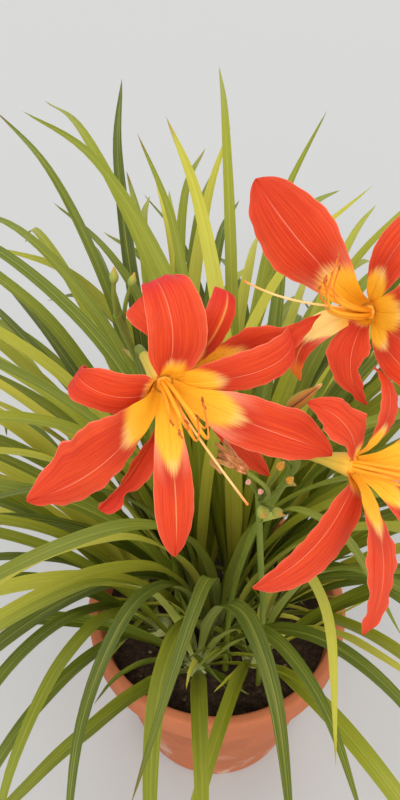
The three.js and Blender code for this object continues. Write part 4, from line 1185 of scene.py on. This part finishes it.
def make_blooms():
    tepal, tube, stamen = tepal_paint(), tube_paint(), stamen_paint()
    for name in BLOOMS:
        bloom = Bloom(name)
        skin = Skin()
        for number, petal in enumerate(bloom.spec["tepals"]):
            add_tepal(skin, bloom, petal, number)
        petal_faces = len(skin.faces)
        add_bloom_tube(skin, bloom)
        made = skin.piece(f"petals_{name}", f"bloom_{name}_tepals", "tepal", tepal)
        made.data.materials.append(tube.material)
        for polygon in made.data.polygons[petal_faces:]:
            polygon.material_index = 1
        make_stamens(name, bloom, stamen)


def add_stamen(skin, bloom, number):
    """A filament that bends upwards, with a two-lobed anther across its end."""
    scale, lift = bloom.spec["stamens"]
    root, *knees = STAMENS[number]
    start = 2 * level_axes(root)[0][:2]
    elbow, top = (bloom.point(a * scale, b * scale, (c + lift) * scale) for a, b, c in knees)
    t = np.linspace(0, 1, STAMEN_ROWS)
    path = Curve([
        bloom.point(PLUG_TOP - 2, *start),
        bloom.point(8 * scale, *(start * 1.3)),
        elbow,
        mix(elbow, top, 0.4) + bloom.forward * 3 * scale,
        top,
    ]).at(t)
    radius = mix(*FILAMENT_RADII, smoothstep((t - 0.5) / 0.3)) * mix(1, scale, 0.5)
    skin.tube(path, radius, 12, FILAMENT_KIND)
    lean = bloom.right * mix(-1.6, 1.6, draw(number + 71)) + bloom.up * 2.6
    lean = lean + bloom.forward * mix(-1, 1, draw(number + 81))
    add_pod(skin, top, unit(lean), ANTHER, 14, ANTHER_KIND, 2, 0.3)


def add_style(skin, bloom):
    """The long style with a three-lobed stigma at its end."""
    style = bloom.spec["style"]
    t = np.linspace(0, 1, STAMEN_ROWS)
    reach = mix(PLUG_TOP - 2, style["length"], t)
    turn = t ** style.get("power", 2)
    up = style["lift"] * turn - style["sag"] * np.sin(math.pi * t)
    path = bloom.point(reach[:, None], (style["side"] * turn)[:, None], up[:, None])
    skin.tube(path, mix(*STYLE_RADII, t), 12, STYLE_KIND)
    add_pod(skin, path[-1] + bloom.forward * 0.2, bloom.forward, STIGMA, 12, STIGMA_KIND, 3, 0.25)


def make_stamens(name, bloom, paint):
    plug = [
        (TUBE["bore"] * 0.45, SEAT_GAP - TUBE["bore_depth"]), (TUBE["bore"] * 0.66, PLUG_TOP), (4.5, -1.6),
        (4.8, -0.5), (4, 0.3), (2.2, 0.9),
    ]
    skin = Skin()
    skin.loop(bloom.placed(turned_rings(plug, 24)))
    for number in range(len(STAMENS)):
        add_stamen(skin, bloom, number)
    add_style(skin, bloom)
    skin.piece(f"stamens_{name}", f"bloom_{name}_stamens", "stamen", paint)


# ---------------------------------------------------------------- stalks, buds and the withered bloom

STALK_TAPER = 0.66
PEDICEL_RADII = (1.9, 2.5)
BRACT_DIP = 4
WITHERED = {"scape": "scape_spent", "twig": 2, "core_length": 13, "core_radius": 3.4, "strands": 4}


def twig_route(curve, twig):
    """A twig's path from its stalk, with its end and the way it points there."""
    start = curve.at(twig["start"])
    end = vec(*twig["to"])
    middle = vec(*twig["via"]) if "via" in twig else mix(start, end, 0.5) + curve.heading(twig["start"]) * 3
    return Curve([start, middle, end]), end, unit(end - middle)


def add_bud(skin, start, along, length, radius, kind, turned=0.0, fresh=0.0):
    """A three-lobed spindle, fattest near its middle and blunt at its tip."""
    t = np.linspace(0, 1, 22)
    path = start + along * (length * t)[:, None]
    swell = 0.42 + 0.58 * np.sin(math.pi * np.clip(t / 0.8, 0, 1) ** 0.8)
    width = radius * swell * (1 - t**5) ** 0.5 + 0.05
    skin.tube(path, width, 24, kind, (fresh, 0, 0), lobes=3, depth=0.14, turned=turned)


def add_bract(skin, curve, bract):
    """A narrow blade that stands off its stalk."""
    start = curve.at(bract["at"])
    rise = math.radians(bract["rise"])
    out, side = level_axes(bract["compass"])
    along = out * math.cos(rise) + vec(0, 0, math.sin(rise))
    face = np.cross(along, side)
    s = np.linspace(0, 1, 21)[:-1]
    u = np.linspace(-1, 1, 9)
    half = (bract["width"] / 2 * (0.7 + 0.3 * np.sin(math.pi * s)) * (1 - s**2.4) ** 0.7)[:, None]
    at = start + along * (bract["length"] * s)[:, None] - face * (BRACT_DIP * s * s)[:, None]
    tip = start + along * bract["length"] - face * BRACT_DIP
    thickness = 0.15 + 0.9 * (1 - np.abs(u))
    skin.sheet(at, side, face, half * u, half * 0.4 * np.abs(u), thickness, s, u, PLAIN, tip, kind=BRACT)


def add_pedicel(skin, curve, share, bloom):
    """The short stalk of a bloom, from the scape to the foot of its tube."""
    foot = bloom.at - bloom.forward * (TUBE["length"] + SEAT_GAP)
    start = curve.at(share)
    path = Curve([start, mix(start, foot, 0.45) + vec(0, 0, 2), foot - bloom.forward * 7, foot])
    k = np.linspace(0, 1, 24)
    skin.tube(path.at(k), mix(*PEDICEL_RADII, k), 16, STALK)


def add_twig(skin, curve, twig):
    """A side twig with what it ends in: a green bud, a dry stub or nothing."""
    thick = twig["thick"]
    route, end, along = twig_route(curve, twig)
    k = np.linspace(0, 1, 20)
    skin.tube(route.at(k), thick * mix(1.05, 0.85, k), 14, STALK)
    if twig.get("bud"):
        add_bud(skin, end - along * 2, along, twig["bud"] + 2, twig.get("fat", thick * 1.9), GREEN_BUD)
    if twig.get("stub"):
        add_bud(skin, end - along, along, 2.6, thick * 1.25, STUB)


def make_scapes():
    paint = stem_paint()
    t = np.linspace(0, 1, 120)
    for name, scape in SCAPES.items():
        skin = Skin()
        curve = Curve(scape["points"])
        skin.tube(curve.at(t), scape["thick"] * 0.94 * mix(1, STALK_TAPER, t), 20, STALK, lobes=6, depth=0.05)
        for bloom_name, share in scape["blooms"].items():
            add_pedicel(skin, curve, share, Bloom(bloom_name))
        for twig in scape["twigs"]:
            add_twig(skin, curve, twig)
        add_bract(skin, curve, scape["bract"])
        skin.piece(name.replace("scape", "stalk"), name, "stem", paint)


def make_buds():
    paint = bud_paint()
    for name, bud in BUDS.items():
        scape = SCAPES[bud["scape"]]
        _, end, along = twig_route(Curve(scape["points"]), scape["twigs"][bud["twig"]])
        skin = Skin()
        turned, fresh = bud.get("turned", 0), bud.get("fresh", 0)
        add_bud(skin, end + along * BUD_GAP, along, bud["length"], bud["radius"], GREEN_BUD, turned, fresh)
        skin.piece(f"orange_{name}", name, "bud", paint)


def make_withered():
    scape = SCAPES[WITHERED["scape"]]
    _, end, along = twig_route(Curve(scape["points"]), scape["twigs"][WITHERED["twig"]])
    foot = end + along * BUD_GAP
    level = unit(np.cross(along, (0, 0, 1)))
    over = np.cross(level, along)
    skin = Skin()
    t = np.linspace(0, 1, 28)
    core = foot + along * (WITHERED["core_length"] * t)[:, None]
    width = WITHERED["core_radius"] * np.sin(math.pi * np.clip(0.12 + t * 0.82, 0, 1)) ** 0.6
    skin.tube(core, width, 20, 0, lobes=5, depth=0.3)
    for k in range(WITHERED["strands"]):
        turn = math.radians(360 / WITHERED["strands"] * k + 20)
        out = level * math.cos(turn) + over * math.sin(turn)
        reach = mix(15, 23, draw(k + 40))
        path = Curve([
            foot + along * 5 + out * 1.2,
            foot + along * reach * 0.7 + out * 4,
            foot + along * reach + out * 7,
            foot + along * reach * 0.55 + out * 9,
        ]).at(t)
        width = mix(2, 0.7, t) * (1 + 0.12 * np.sin(26 * t + k))
        skin.tube(path, width, 20, 0, (draw(k + 60), draw(k + 66) ** 2, 0), lobes=3, depth=0.5)
    skin.piece("spent_bloom", "withered_bloom", "withered", withered_paint())


# ---------------------------------------------------------------- everything

add_camera()
add_surroundings()
make_pot()
make_soil()
make_fans()
make_blooms()
make_scapes()
make_buds()
make_withered()
